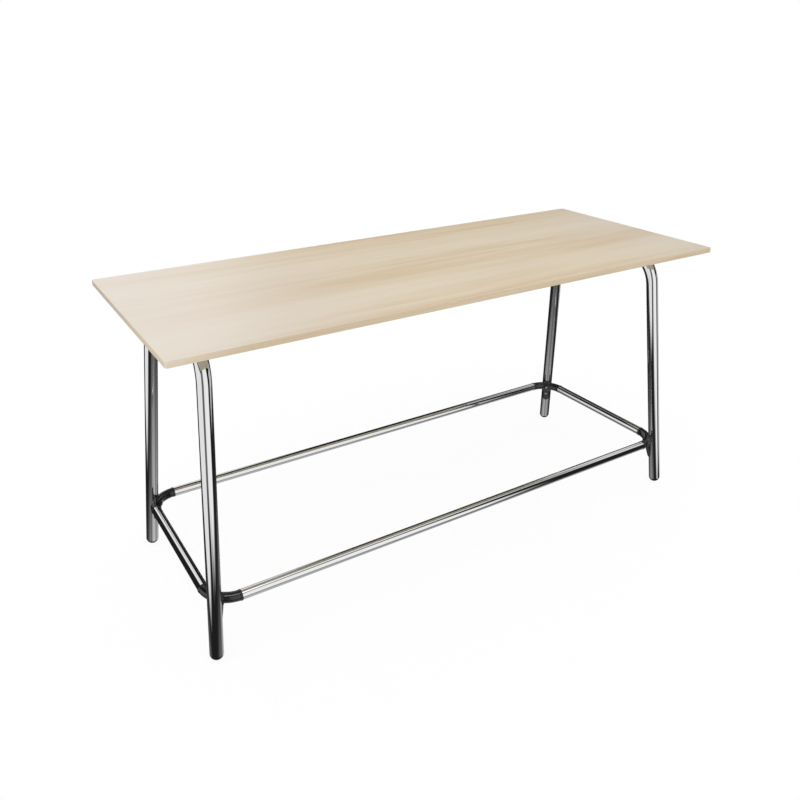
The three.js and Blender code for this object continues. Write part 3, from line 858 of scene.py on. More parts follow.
def leg_place(sizes, corner, height):
    """The corner's frame leaned with the leg: Z runs up its axis."""
    return corner_place(sizes, corner, height) @ Matrix.Rotation(leg_lean(sizes), 4, "Y")


def glide_dome(sizes):
    """Radius of a glide's dome, the angle that it reaches and the height of its centre along the leg."""
    rim = sizes.glide_diameter / 2
    high = sizes.glide_dome_height
    radius = (rim**2 + high**2) / (2 * high)
    return radius, 2.0 * math.atan(high / rim), radius / math.cos(leg_lean(sizes))


def glide_height(sizes):
    """From the floor to the top of a glide, along the leg."""
    radius, reach, centre = glide_dome(sizes)
    return centre - radius * math.cos(reach) + sizes.glide_rim


def tube_end(sizes):
    """From the floor to the end of the tube, along the leg."""
    return glide_height(sizes) + sizes.tube_gap


def show(name, mesh, finish, body, nodes, place=Matrix.Identity(4)):
    """Puts a piece in its place on a body, in front of the solids that it stands for."""
    piece = bpy.data.objects.new(name, mesh)
    bpy.context.scene.collection.objects.link(piece)
    if finish.name not in mesh.materials:
        mesh.materials.clear()
        mesh.materials.append(finish)
    piece.matrix_world = place
    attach(piece, body)
    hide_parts(*nodes)


def finish_named(name, make, colours):
    """A finish that several operators share, made when it is first asked for."""
    return bpy.data.materials.get(name) or make(colours)


def chrome(colours):
    return finish_named("polished_chrome", chrome_finish, colours)


def zinc(colours):
    return finish_named("bright_zinc", zinc_finish, colours)


def plastic(colours):
    return finish_named("black_moulding", plastic_finish, colours)


def sole(colours):
    return finish_named("dull_black_sole", sole_finish, colours)


# Pieces


def end_frame_stations(sizes, side):
    """Axis of a bent tube from its front foot to its rear foot, and the direction square to it."""
    slope = leg_slope(sizes)
    radius = sizes.frame_bend_radius
    up = Vector((-side * slope, slope, 1.0)).normalized()
    across = Vector((0.0, 1.0, 0.0))
    foot = Vector((side * sizes.foot_spread_long / 2, -sizes.foot_spread_short / 2, 0.0))
    knee = foot + up * (sizes.run_height / up.z)
    angle = up.angle(across)
    inward = (across - up * across.dot(up)).normalized()
    start = knee - up * (radius * math.tan(angle / 2))
    centre = start + inward * radius
    front = [(foot + up * tube_end(sizes), up)]
    for turn in np.linspace(0.0, angle, BEND_STEPS + 1):
        radial = up * math.sin(turn) - inward * math.cos(turn)
        front.append((centre + radial * radius, inward * math.sin(turn) + up * math.cos(turn)))
    mirror = np.array((1.0, -1.0, 1.0))
    stations = [(np.array(point), np.array(along)) for point, along in front]
    rear = [(point * mirror, -along * mirror) for point, along in reversed(stations)]
    return stations + rear, np.array(up.cross(across).normalized())


def edging_outline(thickness, height, arris):
    """Section of an edge strip: Y runs outward from 0 to minus its thickness."""
    reach = arris - thickness
    top = height / 2 - arris
    outer = arc((reach, -top), arris, 270, 180) + arc((reach, top), arris, 180, 90)
    return [(0.0, -height / 2), *outer, (0.0, height / 2)]


def edging_mesh(sizes, name, run, thickness, height):
    """A straight strip along X with rounded ends."""
    outline = np.array(edging_outline(thickness, height, sizes.arris_radius))
    middle = outline.mean(axis=0)
    end = sizes.edging_end
    shrunk = middle + (outline - middle) * (1.0 - 2.0 * end / np.array((thickness * 2, height)))
    rows = [(-run / 2, shrunk), (end - run / 2, outline), (run / 2 - end, outline), (run / 2, shrunk)]
    return mesh_of(name, loft([upright_ring(points, x) for x, points in rows]))


def wrapped_edging_mesh(sizes, name, run, radius, thickness, height):
    """A strip along X that goes round both corners. The middles of the corners lie at Y 0."""
    outline = np.array(edging_outline(thickness, height, sizes.arris_radius))
    reach = (radius - thickness - outline[:, 0])[:, None]
    rows = []
    for side, start in ((-1, math.pi), (1, 1.5 * math.pi)):
        for turn in np.linspace(start, start + math.pi / 2, CORNER_STEPS + 1):
            plan = np.array((math.cos(turn), math.sin(turn)))
            middle = np.array((side * (run / 2 - radius), 0.0))
            rows.append(np.column_stack([middle + reach * plan, outline[:, 1]]))
    return mesh_of(name, loft(rows))


def weld_plate_mesh(sizes, long, wide, thick):
    """A plate with round corners, cut for its tube and screws, and its two weld beads."""
    arris = sizes.plate_arris
    leg = sizes.leg_diameter / 2
    outline = rounded_rectangle(long, wide, sizes.plate_corner)
    inset = rounded_rectangle(long - 2 * arris, wide - 2 * arris, sizes.plate_corner - arris)
    levels = [(inset, 0.0), (outline, arris), (outline, thick - arris), (inset, thick)]
    plate = mesh_of("weld_plate", loft([level_ring(points, z) for points, z in levels]))
    along_y = Matrix.Rotation(math.pi / 2, 4, "X")
    below = Matrix.Translation((0, 0, sizes.weld_seat - leg))
    seat = moved(peg(leg, -wide, wide, TUBE_SIDES), below @ along_y)
    offset = (leg + long / 2) / 2
    hole = peg(sizes.wood_screw / 2 + sizes.recess_gap, -thick, 2 * thick, SCREW_SIDES)
    holes = [moved(hole, Matrix.Translation((side * offset, 0, 0))) for side in (-1, 1)]
    plate = combined(plate, "DIFFERENCE", [seat, *holes])
    work = bmesh.new()
    work.from_mesh(plate)
    chord = math.sqrt(leg**2 - (leg - sizes.weld_seat) ** 2)
    reach = chord + sizes.weld_bead
    bead = weld_bead(sizes, wide - 2 * sizes.plate_corner)
    sink = -sizes.weld_bead / 3
    points, faces = joined([moved(bead, Matrix.Translation((side * reach, 0, sink))) for side in (-1, 1)])
    beads = bpy.data.meshes.new("beads")
    beads.from_pydata(points.tolist(), [], faces)
    work.from_mesh(beads)
    work.to_mesh(plate)
    work.free()
    bpy.data.meshes.remove(beads)
    return finished_mesh(plate)


# Shape of a weld bead: the height of its ripples, its end and how suddenly it gets there
WELD_RIPPLE_RISE = 0.14
WELD_END = 0.02
WELD_END_POWER = 12


def weld_bead(sizes, run):
    """A rippled bead along Y that runs out at both ends."""
    angle = circle(THREAD_SIDES)
    rows = []
    count = round(run / sizes.weld_ripple) * ARC_STEPS
    for share in np.linspace(0.0, 1.0, count + 1):
        y = (share - 0.5) * run
        ripple = 1.0 + WELD_RIPPLE_RISE * abs(math.sin(math.pi * y / sizes.weld_ripple))
        fade = math.sqrt(max(WELD_END, 1.0 - abs(2.0 * share - 1.0) ** WELD_END_POWER))
        radius = sizes.weld_bead * ripple * fade
        rows.append(np.column_stack([radius * np.cos(angle), np.full(len(angle), y), radius * np.sin(angle)]))
    return loft(rows)


def channel_mesh(sizes, run, wide, deep, hole_places):
    """A folded channel, open below, with its screw holes."""
    sheet = sizes.channel_sheet
    inside = sizes.channel_bend
    outside = inside + sheet
    half = wide / 2
    bend = half - outside
    outline = [(-half, -deep)]
    outline += arc((-bend, -outside), outside, 180, 90)
    outline += arc((bend, -outside), outside, 90, 0)
    outline += [(half, -deep), (half - sheet, -deep)]
    outline += arc((bend, -outside), inside, 0, 90)
    outline += arc((-bend, -outside), inside, 90, 180)
    outline += [(sheet - half, -deep)]
    channel = mesh_of("channel", loft([upright_ring(outline, x) for x in (-run / 2, run / 2)]))
    hole = peg(sizes.wood_screw / 2 + sizes.recess_gap, -deep, deep, SCREW_SIDES)
    cutters = [moved(hole, Matrix.Translation((x, 0, 0))) for x in hole_places]
    return finished_mesh(combined(channel, "DIFFERENCE", cutters))


def elbow_middle(sizes):
    """From the leg's axis to the middle of the connector's bend, along the diagonal."""
    return sizes.elbow_bend_radius * (math.sqrt(2) - 1) - sizes.rail_outset * math.sqrt(2)


def tail_share(sizes, drop):
    """Share of the tail's taper at a drop below the footrest axis."""
    return min(drop / (sizes.tail_length - sizes.tail_tip_radius), 1.0)


def tail_radius(sizes, drop):
    """Radius of the tail at a drop below the footrest axis."""
    return sizes.tail_top_radius + (sizes.tail_tip_radius - sizes.tail_top_radius) * tail_share(sizes, drop)


def tail_offsets(sizes):
    """Axis of the tail from the leg's axis, at the bend and at the tip."""
    leg = sizes.leg_diameter / 2
    top = leg + sizes.tail_top_thickness - sizes.tail_top_radius
    tip = leg + sizes.tail_tip_thickness - sizes.tail_tip_radius
    return top, tip


def screw_seats(sizes):
    """Drop below the footrest axis and distance from the leg's axis of both screw seats."""
    top, tip = tail_offsets(sizes)
    drop = sizes.lower_screw_drop
    offset = top + (tip - top) * drop / sizes.tail_length
    upper = elbow_middle(sizes) + rail_radius() - sizes.upper_screw_recess
    lower = offset + tail_radius(sizes, drop) - sizes.lower_screw_recess
    return {"upper": (-sizes.upper_screw_rise, upper), "lower": (drop, lower)}


def elbow_bend(sizes):
    """The quarter bend between two footrest tubes, in the corner's frame."""
    radius = sizes.elbow_bend_radius
    centre = elbow_middle(sizes) + radius
    reach = math.pi / 4 - sizes.collar_length / 2 / radius
    angle = circle(TUBE_SIDES)
    rows = []
    for turn in np.linspace(-reach, reach, BEND_STEPS + 1):
        outward = np.array((-math.cos(turn), -math.sin(turn), 0.0))
        point = np.array((centre, 0.0, 0.0)) + radius * outward
        around = np.outer(np.cos(angle), outward) + np.outer(np.sin(angle), (0.0, 0.0, 1.0))
        rows.append(point + rail_radius() * around)
    return loft(rows)


# Share of a collar's step that its eased edges take
COLLAR_EASE = 0.6


def elbow_ends(sizes):
    """Collars at both ends of the bend and the ribs that go into the tubes."""
    radius = sizes.elbow_bend_radius
    half = radius * math.sqrt(0.5)
    collar = rail_radius() + sizes.collar_step
    step = sizes.collar_step * COLLAR_EASE
    profile = [
        (collar - sizes.collar_step, -sizes.collar_length - step),
        (collar - step / 2, -sizes.collar_length),
        (collar, step - sizes.collar_length),
        (collar, -step / 2),
        (collar - step / 2, 0.0),
    ]
    plug = rail_radius() - sizes.rail_wall - sizes.spigot_gap
    sections = [(2 * plug, sizes.spigot_rib), (sizes.spigot_rib, 2 * plug)]
    corner = sizes.spigot_rib / 4
    tip = sizes.spigot_rib / 2
    shells = []
    for side in (-1, 1):
        direction = Vector((math.sqrt(0.5), side * math.sqrt(0.5), 0.0))
        origin = Vector((elbow_middle(sizes) + radius - half, side * half, 0.0))
        place = Matrix.Translation(origin) @ direction.to_track_quat("Z", "Y").to_matrix().to_4x4()
        shells.append(moved(turned(profile, TUBE_SIDES), place))
        for wide, high in sections:
            full = rounded_rectangle(wide, high, corner)
            slim = rounded_rectangle(wide - 2 * corner, high - 2 * corner, corner)
            levels = [(full, -sizes.collar_length / 2), (full, sizes.spigot_length - tip)]
            levels.append((slim, sizes.spigot_length))
            shells.append(moved(loft([level_ring(points, z) for points, z in levels]), place))
    return shells


def elbow_tail(sizes):
    """The tail that hugs the leg below the bend."""
    top, tip = tail_offsets(sizes)
    flare_middle = rail_radius()
    flare_half = sizes.tail_flare_length / 2
    profile = [(sizes.tail_top_radius, rail_radius() / 2)]
    for share in np.linspace(0.0, 1.0, ARC_STEPS):
        drop = flare_middle + flare_half * (2.0 * share - 1.0)
        profile.append((tail_radius(sizes, drop) + sizes.tail_flare * (1.0 - share) ** 2, -drop))
    dome = sizes.tail_length - sizes.tail_tip_radius
    for turn in np.linspace(0.0, math.pi / 2, 2 * ARC_STEPS)[:-1]:
        radius = sizes.tail_tip_radius
        profile.append((radius * math.cos(turn), -dome - radius * math.sin(turn)))
    tilt = Matrix.Rotation(math.atan((top - tip) / sizes.tail_length), 4, "Y")
    lean = Matrix.Rotation(leg_lean(sizes), 4, "Y")
    return moved(turned(profile, TUBE_SIDES), lean @ Matrix.Translation((top, 0, 0)) @ tilt)


def elbow_cuts(sizes):
    """The saddle on the leg and the two screw recesses."""
    lean = Matrix.Rotation(leg_lean(sizes), 4, "Y")
    outward = Matrix.Rotation(math.pi / 2, 4, "Y")
    leg = sizes.leg_diameter / 2 + sizes.saddle_gap
    reach = 2 * sizes.tail_length
    cuts = [moved(peg(leg, -reach, reach, TUBE_SIDES), lean)]
    hole = sizes.frame_screw / 2 + sizes.recess_gap
    head = sizes.frame_screw_head / 2 + sizes.recess_gap
    for drop, seat in screw_seats(sizes).values():
        profile = [(hole, 0.0), (hole, seat), (head, seat), (head, seat + sizes.leg_diameter)]
        cuts.append(moved(turned(profile, SCREW_SIDES), lean @ Matrix.Translation((0, 0, -drop)) @ outward))
    return cuts


# Skin of a moulding: its cells, how it is smoothed and the share of faces that it keeps
MOULD_CELL = 0.75 * MM
MOULD_SMOOTHING = 0.5
MOULD_PASSES = 6
MOULD_FACES_KEPT = 0.3


def soften_moulding(work):
    """Skins a joined shape and rounds its edges as a mould does."""
    skin = work.modifiers.new("skin", "REMESH")
    skin.mode = "VOXEL"
    skin.voxel_size = MOULD_CELL
    soften = work.modifiers.new("soften", "SMOOTH")
    soften.factor = MOULD_SMOOTHING
    soften.iterations = MOULD_PASSES
    thin = work.modifiers.new("thin", "DECIMATE")
    thin.ratio = MOULD_FACES_KEPT


def elbow_mesh(sizes):
    """One corner connector in its corner's frame."""
    body = combined(mesh_of("elbow", elbow_bend(sizes)), "UNION", [elbow_tail(sizes), *elbow_ends(sizes)])
    body = combined(body, "DIFFERENCE", elbow_cuts(sizes))
    body = modified(body, soften_moulding)
    body.shade_smooth()
    return body


# Parts of a foot: flat ends of a dome and a pocket, depth of a thread, tip of a stem and barbs of a plug
DOME_END_PARTS = 60
POCKET_END_PARTS = 10
THREAD_DEPTH = 0.61
STEM_TIP = 0.6
PLUG_BARBS = 3


def glide_mesh(sizes):
    """A domed glide with the pocket that grips its stem."""
    rim = sizes.glide_diameter / 2
    radius, reach, centre = glide_dome(sizes)
    arris = sizes.glide_arris
    height = glide_height(sizes)
    pocket = sizes.stem_diameter / 2 + sizes.stem_gap
    floor = height - sizes.stem_grip
    profile = [
        (radius * math.sin(turn), centre - radius * math.cos(turn))
        for turn in np.linspace(reach / DOME_END_PARTS, reach, 3 * ARC_STEPS)
    ]
    profile += [(rim - arris + x, height - arris + z) for x, z in arc((0, 0), arris, 0, 90)]
    profile += [(pocket, height), (pocket, floor), (pocket / POCKET_END_PARTS, floor)]
    return mesh_of("glide", turned(profile, TUBE_SIDES))


def stem_mesh(sizes):
    """The threaded stem of a glide."""
    radius = sizes.stem_diameter / 2
    core = radius - THREAD_DEPTH * sizes.stem_pitch
    low = glide_height(sizes) - sizes.stem_grip + sizes.stem_gap
    grip = low + sizes.stem_grip
    high = low + sizes.stem_length
    rings = [ring(radius, low, THREAD_SIDES), ring(radius, grip, THREAD_SIDES)]
    rings += thread_rings(core, radius, sizes.stem_pitch, grip, high - core / 3, THREAD_SIDES)
    rings.append(ring(core * STEM_TIP, high, THREAD_SIDES))
    return mesh_of("glide_stem", loft(rings))


def plug_mesh(sizes):
    """The barbed plug in a leg's end, bored for the stem."""
    outer = sizes.leg_diameter / 2 - sizes.leg_wall - sizes.plug_gap
    inner = sizes.stem_diameter / 2 + sizes.plug_thread_gap
    base = tube_end(sizes)
    pitch = sizes.plug_length / PLUG_BARBS
    profile = [(inner, base), (outer, base)]
    for barb in range(1, PLUG_BARBS + 1):
        profile.append((outer - sizes.plug_barb, base + pitch * barb))
        if barb < PLUG_BARBS:
            profile.append((outer, base + pitch * barb))
    profile.append((inner, base + sizes.plug_length))
    return mesh_of("leg_plug", turned(profile, TUBE_SIDES, closed=True))


# Operators


class MEETINGTABLE_OT_board(bpy.types.Operator):
    """Gives the board its light wood decor"""

    bl_idname = "meeting_table.board"
    bl_label = "Board"

    def execute(self, context):
        finish = laminate_finish(context.scene.meeting_table_colours)
        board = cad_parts["top_board"]
        board.data.materials.clear()
        board.data.materials.append(finish)
        return {"FINISHED"}


class MEETINGTABLE_OT_edging(bpy.types.Operator):
    """Makes the four edge strips with their round arrises"""

    bl_idname = "meeting_table.edging"
    bl_label = "Edging"

    def execute(self, context):
        sizes = context.scene.meeting_table_sizes
        finish = edging_finish(context.scene.meeting_table_colours)
        low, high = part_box("edge_band_left")
        thickness = high.x - low.x
        for quarter, side in enumerate(("front", "right", "rear", "left")):
            node = f"edge_band_{side}"
            name = f"edging_{side}"
            low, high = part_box(node)
            size = high - low
            if side in LONG_SIDES:
                depth = size.y
                mesh = wrapped_edging_mesh(sizes, name, size.x, depth, thickness, size.z)
            else:
                depth = thickness
                mesh = edging_mesh(sizes, name, size.y, thickness, size.z)
            turn = Matrix.Rotation(quarter * math.pi / 2, 4, "Z")
            middle = (low + high) / 2 + turn @ Vector((0, depth / 2, 0))
            place = Matrix.Translation(middle) @ turn
            show(name, mesh, finish, TABLE_BODY, [node], place)
        return {"FINISHED"}


class MEETINGTABLE_OT_end_frames(bpy.types.Operator):
    """Makes the two bent tube end frames"""

    bl_idname = "meeting_table.end_frames"
    bl_label = "End frames"

    def execute(self, context):
        sizes = context.scene.meeting_table_sizes
        finish = chrome(context.scene.meeting_table_colours)
        outer = sizes.leg_diameter / 2
        for name, side in (("left", -1), ("right", 1)):
            stations, square = end_frame_stations(sizes, side)
            shell = tube(stations, square, outer, outer - sizes.leg_wall, sizes.tube_arris)
            mesh = mesh_of(f"bent_tube_{name}", shell)
            show(f"bent_tube_{name}", mesh, finish, TABLE_BODY, [f"end_frame_{name}"])
        return {"FINISHED"}


class MEETINGTABLE_OT_weld_plates(bpy.types.Operator):
    """Makes the plates on the end frames and their weld beads"""

    bl_idname = "meeting_table.weld_plates"
    bl_label = "Weld plates"

    def execute(self, context):
        sizes = context.scene.meeting_table_sizes
        finish = chrome(context.scene.meeting_table_colours)
        mesh = None
        for corner in CORNERS:
            node = f"mount_plate_{corner}"
            low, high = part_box(node)
            size = high - low
            mesh = mesh or weld_plate_mesh(sizes, size.x, size.y, size.z)
            middle = (low + high) / 2
            place = Matrix.Translation((middle.x, middle.y, low.z))
            show(f"weld_plate_{corner}", mesh, finish, TABLE_BODY, [node], place)
        return {"FINISHED"}


class MEETINGTABLE_OT_channels(bpy.types.Operator):
    """Makes the two stiffening channels under the board"""

    bl_idname = "meeting_table.channels"
    bl_label = "Channels"

    def execute(self, context):
        sizes = context.scene.meeting_table_sizes
        finish = coating_finish(context.scene.meeting_table_colours)
        for side in LONG_SIDES:
            node = f"stiffener_{side}"
            low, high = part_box(node)
            size = high - low
            boxes = [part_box(f"channel_screw_{side}_{number}") for number in CHANNEL_SCREWS]
            holes = [(first.x + last.x) / 2 for first, last in boxes]
            mesh = channel_mesh(sizes, size.x, size.y, size.z, holes)
            place = Matrix.Translation((0, (low.y + high.y) / 2, high.z))
            show(f"channel_{side}", mesh, finish, TABLE_BODY, [node], place)
        return {"FINISHED"}


class MEETINGTABLE_OT_wood_screws(bpy.types.Operator):
    """Makes the screws that hold the plates and channels to the board"""

    bl_idname = "meeting_table.wood_screws"
    bl_label = "Wood screws"

    def execute(self, context):
        sizes = context.scene.meeting_table_sizes
        finish = zinc(context.scene.meeting_table_colours)
        nodes = [f"plate_screw_{number}" for number in PLATE_SCREWS]
        nodes += [f"channel_screw_{side}_{number}" for side in LONG_SIDES for number in CHANNEL_SCREWS]
        head = sizes.wood_screw_head
        drive = cross_drive(head * CROSS_SPAN, head * CROSS_SLOT)
        upside_down = Matrix.Rotation(math.pi, 4, "X")
        for node in nodes:
            low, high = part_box(node)
            run = high.z - low.z - sizes.wood_screw_head_height
            shell = screw(
                sizes.wood_screw, head, sizes.wood_screw_head_height, run, sizes.wood_screw_pitch, drive
            )
            middle = (low + high) / 2
            seat = Vector((middle.x, middle.y, high.z - run))
            place = Matrix.Translation(seat) @ upside_down
            show(f"zinc_{node}", mesh_of(node, shell), finish, TABLE_BODY, [node], place)
        return {"FINISHED"}


class MEETINGTABLE_OT_footrest(bpy.types.Operator):
    """Makes the four footrest tubes"""

    bl_idname = "meeting_table.footrest"
    bl_label = "Footrest tubes"

    def execute(self, context):
        sizes = context.scene.meeting_table_sizes
        finish = chrome(context.scene.meeting_table_colours)
        outer = rail_radius()
        square = np.array((0.0, 0.0, 1.0))
        for side in (*LONG_SIDES, "left", "right"):
            node = f"footrest_tube_{side}"
            low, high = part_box(node)
            middle = np.array((low + high) / 2)
            along = np.array((1.0, 0.0, 0.0) if side in LONG_SIDES else (0.0, 1.0, 0.0))
            half = along * np.array(high - low) / 2
            stations = [(middle - half, along), (middle, along), (middle + half, along)]
            shell = tube(stations, square, outer, outer - sizes.rail_wall, sizes.tube_arris)
            show(f"footrest_{side}", mesh_of(node, shell), finish, TABLE_BODY, [node])
        return {"FINISHED"}


class MEETINGTABLE_OT_connectors(bpy.types.Operator):
    """Makes the four moulded corner connectors"""

    bl_idname = "meeting_table.connectors"
    bl_label = "Corner connectors"

    def execute(self, context):
        sizes = context.scene.meeting_table_sizes
        finish = plastic(context.scene.meeting_table_colours)
        mesh = elbow_mesh(sizes)
        for corner in CORNERS:
            place = corner_place(sizes, corner, rail_height())
            node = f"corner_connector_{corner}"
            show(f"elbow_{corner}", mesh, finish, TABLE_BODY, [node], place)
        return {"FINISHED"}


class MEETINGTABLE_OT_connector_screws(bpy.types.Operator):
    """Makes the two screws of each corner connector"""

    bl_idname = "meeting_table.connector_screws"
    bl_label = "Connector screws"

    def execute(self, context):
        sizes = context.scene.meeting_table_sizes
        finish = zinc(context.scene.meeting_table_colours)
        head = sizes.frame_screw_head
        tip = sizes.leg_diameter / 2 - sizes.leg_wall - sizes.frame_screw_reach
        outward = Matrix.Rotation(math.pi / 2, 4, "Y")
        drive = hexagon_drive(head * HEXAGON_ACROSS)
        for level, (drop, seat) in screw_seats(sizes).items():
            shell = screw(
                sizes.frame_screw,
                head,
                sizes.frame_screw_head_height,
                seat - tip,
                sizes.frame_screw_pitch,
                drive,
            )
            mesh = mesh_of(f"elbow_screw_{level}", shell)
            local = Matrix.Translation((0, 0, -drop)) @ outward
            local = local @ Matrix.Translation((0, 0, seat + sizes.screw_seat_gap))
            for corner in CORNERS:
                place = leg_place(sizes, corner, rail_height()) @ local
                node = f"connector_screw_{level}_{corner}"
                show(f"elbow_screw_{level}_{corner}", mesh, finish, TABLE_BODY, [node], place)
        return {"FINISHED"}


class MEETINGTABLE_OT_feet(bpy.types.Operator):
    """Makes the plugs in the legs and the levelling glides with their stems"""

    bl_idname = "meeting_table.feet"
    bl_label = "Levelling feet"

    def execute(self, context):
        sizes = context.scene.meeting_table_sizes
        colours = context.scene.meeting_table_colours
        plug, glide, stem = plug_mesh(sizes), glide_mesh(sizes), stem_mesh(sizes)
        for corner in CORNERS:
            place = leg_place(sizes, corner, 0.0)
            foot = f"foot_{corner}"
            moulding = plastic(colours)
            nodes = [f"leg_insert_{corner}"]
            show(f"leg_plug_{corner}", plug, moulding, TABLE_BODY, nodes, place)
            nodes = [f"levelling_glide_{corner}"]
            show(f"glide_{corner}", glide, sole(colours), foot, nodes, place)
            nodes = [f"levelling_stem_{corner}"]
            show(f"glide_stem_{corner}", stem, zinc(colours), foot, nodes, place)
        return {"FINISHED"}


# Stage

# A flat upright card of the studio as polished metal sees it: the azimuth it faces, with 0 behind the
# table and 90 to its right, how far it reaches to both sides, the softness of its sides, the rise of its
# lower and upper edge, the softness of those edges, all in degrees, and its brightness.
Card = namedtuple("Card", "azimuth half_width side_blur low high end_blur level")
STUDIO_CARDS = (
    Card(azimuth=164.5, half_width=19.5, side_blur=3.0, low=-24.0, high=44.0, end_blur=3.0, level=0.93),
    Card(azimuth=-168.5, half_width=14.0, side_blur=2.5, low=-21.0, high=40.0, end_blur=4.5, level=0.9),
    Card(azimuth=-87.5, half_width=40.5, side_blur=2.5, low=-26.3, high=24.0, end_blur=2.0, level=0.85),
    Card(azimuth=-141.5, half_width=13.5, side_blur=3.0, low=-17.0, high=30.0, end_blur=4.0, level=0.13),
    Card(azimuth=-1.0, half_width=21.0, side_blur=3.0, low=8.0, high=44.0, end_blur=3.0, level=0.92),
    Card(azimuth=-1.0, half_width=18.0, side_blur=5.0, low=49.0, high=60.0, end_blur=3.0, level=0.18),
    Card(azimuth=-1.0, half_width=12.0, side_blur=3.0, low=-16.0, high=8.0, end_blur=3.0, level=0.55),
    Card(azimuth=86.0, half_width=38.0, side_blur=3.0, low=31.0, high=51.0, end_blur=3.0, level=0.74),
    Card(azimuth=97.0, half_width=20.0, side_blur=2.5, low=-22.8, high=5.0, end_blur=1.5, level=0.58),
    Card(azimuth=135.0, half_width=60.0, side_blur=13.0, low=58.0, high=110.0, end_blur=13.0, level=0.5),
    Card(azimuth=178.0, half_width=68.0, side_blur=9.0, low=68.0, high=79.0, end_blur=4.0, level=1.35),
    Card(azimuth=196.0, half_width=46.0, side_blur=9.0, low=66.0, high=80.0, end_blur=4.0, level=4.4),
)

# Brightness between the cards, the pale floor that comes up below them, and the darker patches on it
STUDIO_DARK = 0.014
FLOOR_GLOW = 0.57
FLOOR_GLOW_START = -28.0
FLOOR_GLOW_END = -50.0
FLOOR_SHADES = (
    Card(azimuth=119.0, half_width=18.0, side_blur=14.0, low=-80.0, high=-10.0, end_blur=9.0, level=0.6),
    Card(azimuth=-143.0, half_width=16.0, side_blur=10.0, low=-80.0, high=-10.0, end_blur=9.0, level=0.55),
    Card(azimuth=-16.0, half_width=28.0, side_blur=12.0, low=-80.0, high=-10.0, end_blur=9.0, level=0.7),
)


def card_window(graph, direction, card):
    """1 on a card of the studio and 0 past its soft edges."""
    x, y, z = direction
    turn = math.radians(card.azimuth)
    sine, cosine = math.sin(turn), math.cos(turn)
    ahead = x * sine + y * cosine
    azimuth = graph.math("ARCTAN2", x * cosine - y * sine, ahead) * DEGREES
    rise = graph.math("ARCTAN2", z, ahead) * DEGREES
    beside = abs(azimuth).smooth(card.half_width + card.side_blur, card.half_width - card.side_blur)
    above = rise.smooth(card.low - card.end_blur, card.low + card.end_blur)
    below = rise.smooth(card.high + card.end_blur, card.high - card.end_blur)
    return beside * above * below


def studio_level(graph):
    """Brightness of the studio in each direction: white cards, dark gaps and a pale floor below."""
    ray = graph.add("ShaderNodeTexCoord", output="Generated")
    x = graph.add("ShaderNodeSeparateXYZ", {}, {"Vector": ray}, "X")
    direction = (x, x.sibling("Y"), x.sibling("Z"))
    elevation = graph.math("ARCSINE", x.sibling("Z")) * DEGREES
    level = elevation.smooth(FLOOR_GLOW_START, FLOOR_GLOW_END) * FLOOR_GLOW
    for shade in FLOOR_SHADES:
        level = level * (1 - card_window(graph, direction, shade) * shade.level)
    level = level + STUDIO_DARK
    for card in STUDIO_CARDS:
        level = graph.math("MAXIMUM", level, card_window(graph, direction, card) * card.level)
    return level


def light_world(settings):
    """Even light on the table, a white backdrop for the camera and the studio in reflections."""
    world = bpy.data.worlds.new("studio")
    world.cycles.sampling_method = "NONE"
    bpy.context.scene.world = world
    graph = Graph(world)
    camera = graph.add("ShaderNodeLightPath", output="Is Camera Ray")
    mirror = camera.sibling("Is Glossy Ray")
    through = camera.sibling("Is Transmission Ray")
    backdrop = graph.math("MAXIMUM", camera, through)
    level = backdrop + mirror * studio_level(graph) + (1 - backdrop) * (1 - mirror) * settings.ambient
    light = graph.add("ShaderNodeBackground", {}, {"Color": opaque((1.0, 1.0, 1.0)), "Strength": level})
    graph.add("ShaderNodeOutputWorld", {}, {"Surface": light})


def floor_finish(settings):
    """A pale floor that keeps the shadow and lets the white backdrop through."""
    graph = Graph(bpy.data.materials.new("pale_floor"))
    camera = graph.add("ShaderNodeLightPath", output="Is Camera Ray")
    mirror = camera.sibling("Is Glossy Ray")
    own = 1 - camera * (1.0 - settings.floor_share) - mirror
    matt = graph.add("ShaderNodeBsdfDiffuse", {}, {"Color": opaque(settings.floor_colour)})
    clear = graph.add("ShaderNodeBsdfTransparent")
    surface = graph.add("ShaderNodeMixShader", {}, {0: own, 1: clear, 2: matt})
    graph.add("ShaderNodeOutputMaterial", {}, {"Surface": surface})
    return graph.owner


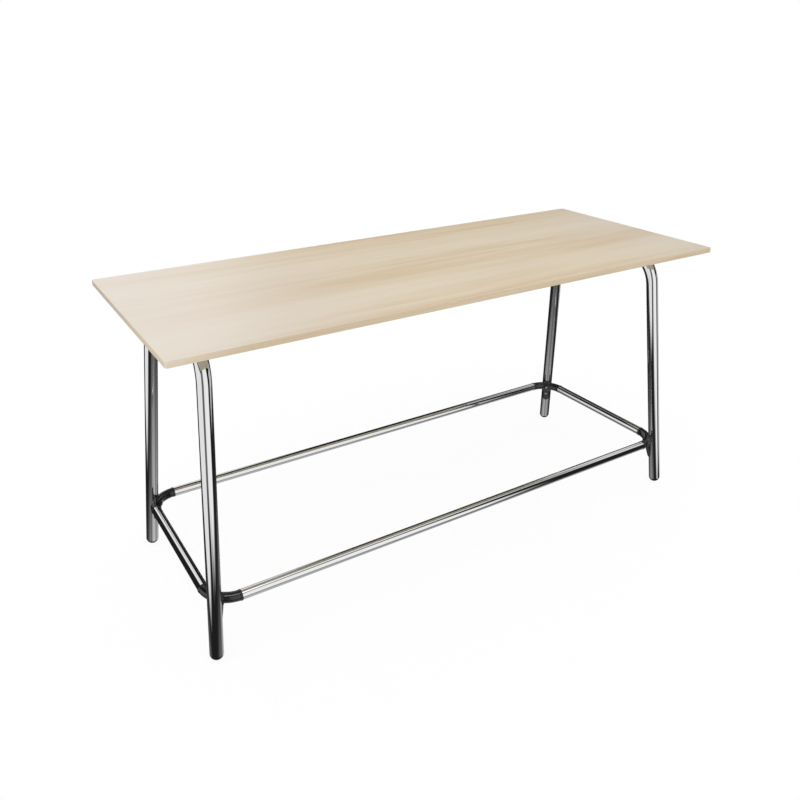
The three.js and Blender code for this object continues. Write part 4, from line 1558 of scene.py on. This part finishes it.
class MEETINGTABLE_OT_stage(bpy.types.Operator):
    """Sets the floor, the light and the camera"""

    bl_idname = "meeting_table.stage"
    bl_label = "Stage"

    def execute(self, context):
        scene = context.scene
        settings = scene.meeting_table_stage
        scene.view_settings.view_transform = "Standard"
        half = settings.floor_size / 2
        corners = [(-half, -half, 0), (half, -half, 0), (half, half, 0), (-half, half, 0)]
        mesh = bpy.data.meshes.new("floor")
        mesh.from_pydata(corners, [], [(0, 1, 2, 3)])
        mesh.materials.append(floor_finish(settings))
        floor = bpy.data.objects.new("floor", mesh)
        scene.collection.objects.link(floor)
        light_world(settings)
        lamp = bpy.data.lights.new("key", "SUN")
        lamp.energy = settings.key
        lamp.angle = settings.key_spread
        key = bpy.data.objects.new("key", lamp)
        key.rotation_euler = settings.key_turn
        key.visible_glossy = False
        scene.collection.objects.link(key)
        lens = bpy.data.cameras.new("camera")
        lens.lens = settings.camera_lens
        camera = bpy.data.objects.new("camera", lens)
        camera.location = settings.camera_place
        camera.rotation_euler = settings.camera_turn
        scene.collection.objects.link(camera)
        scene.camera = camera
        return {"FINISHED"}


PIECE_OPERATORS = (
    MEETINGTABLE_OT_board,
    MEETINGTABLE_OT_edging,
    MEETINGTABLE_OT_end_frames,
    MEETINGTABLE_OT_weld_plates,
    MEETINGTABLE_OT_channels,
    MEETINGTABLE_OT_wood_screws,
    MEETINGTABLE_OT_footrest,
    MEETINGTABLE_OT_connectors,
    MEETINGTABLE_OT_connector_screws,
    MEETINGTABLE_OT_feet,
    MEETINGTABLE_OT_stage,
)


class MEETINGTABLE_PT_panel(bpy.types.Panel):
    """Lists the table's pieces, sizes and colours"""

    bl_idname = "MEETINGTABLE_PT_panel"
    bl_label = "Standing meeting table"
    bl_space_type = "VIEW_3D"
    bl_region_type = "UI"
    bl_category = "Table"

    def draw(self, context):
        column = self.layout.column()
        for operator in PIECE_OPERATORS:
            column.operator(operator.bl_idname)
        scene = context.scene
        for group in (scene.meeting_table_sizes, scene.meeting_table_colours, scene.meeting_table_stage):
            box = self.layout.box()
            for name in group.__annotations__:
                box.prop(group, name)


CLASSES = (TableSizes, TableColours, StageSettings, *PIECE_OPERATORS, MEETINGTABLE_PT_panel)


def register():
    for item in CLASSES:
        bpy.utils.register_class(item)
    bpy.types.Scene.meeting_table_sizes = PointerProperty(type=TableSizes)
    bpy.types.Scene.meeting_table_colours = PointerProperty(type=TableColours)
    bpy.types.Scene.meeting_table_stage = PointerProperty(type=StageSettings)


def unregister():
    del bpy.types.Scene.meeting_table_stage
    del bpy.types.Scene.meeting_table_colours
    del bpy.types.Scene.meeting_table_sizes
    for item in reversed(CLASSES):
        bpy.utils.unregister_class(item)


def main():
    register()
    for operator in PIECE_OPERATORS:
        group, name = operator.bl_idname.split(".")
        getattr(getattr(bpy.ops, group), name)()


if __name__ == "__main__":
    main()
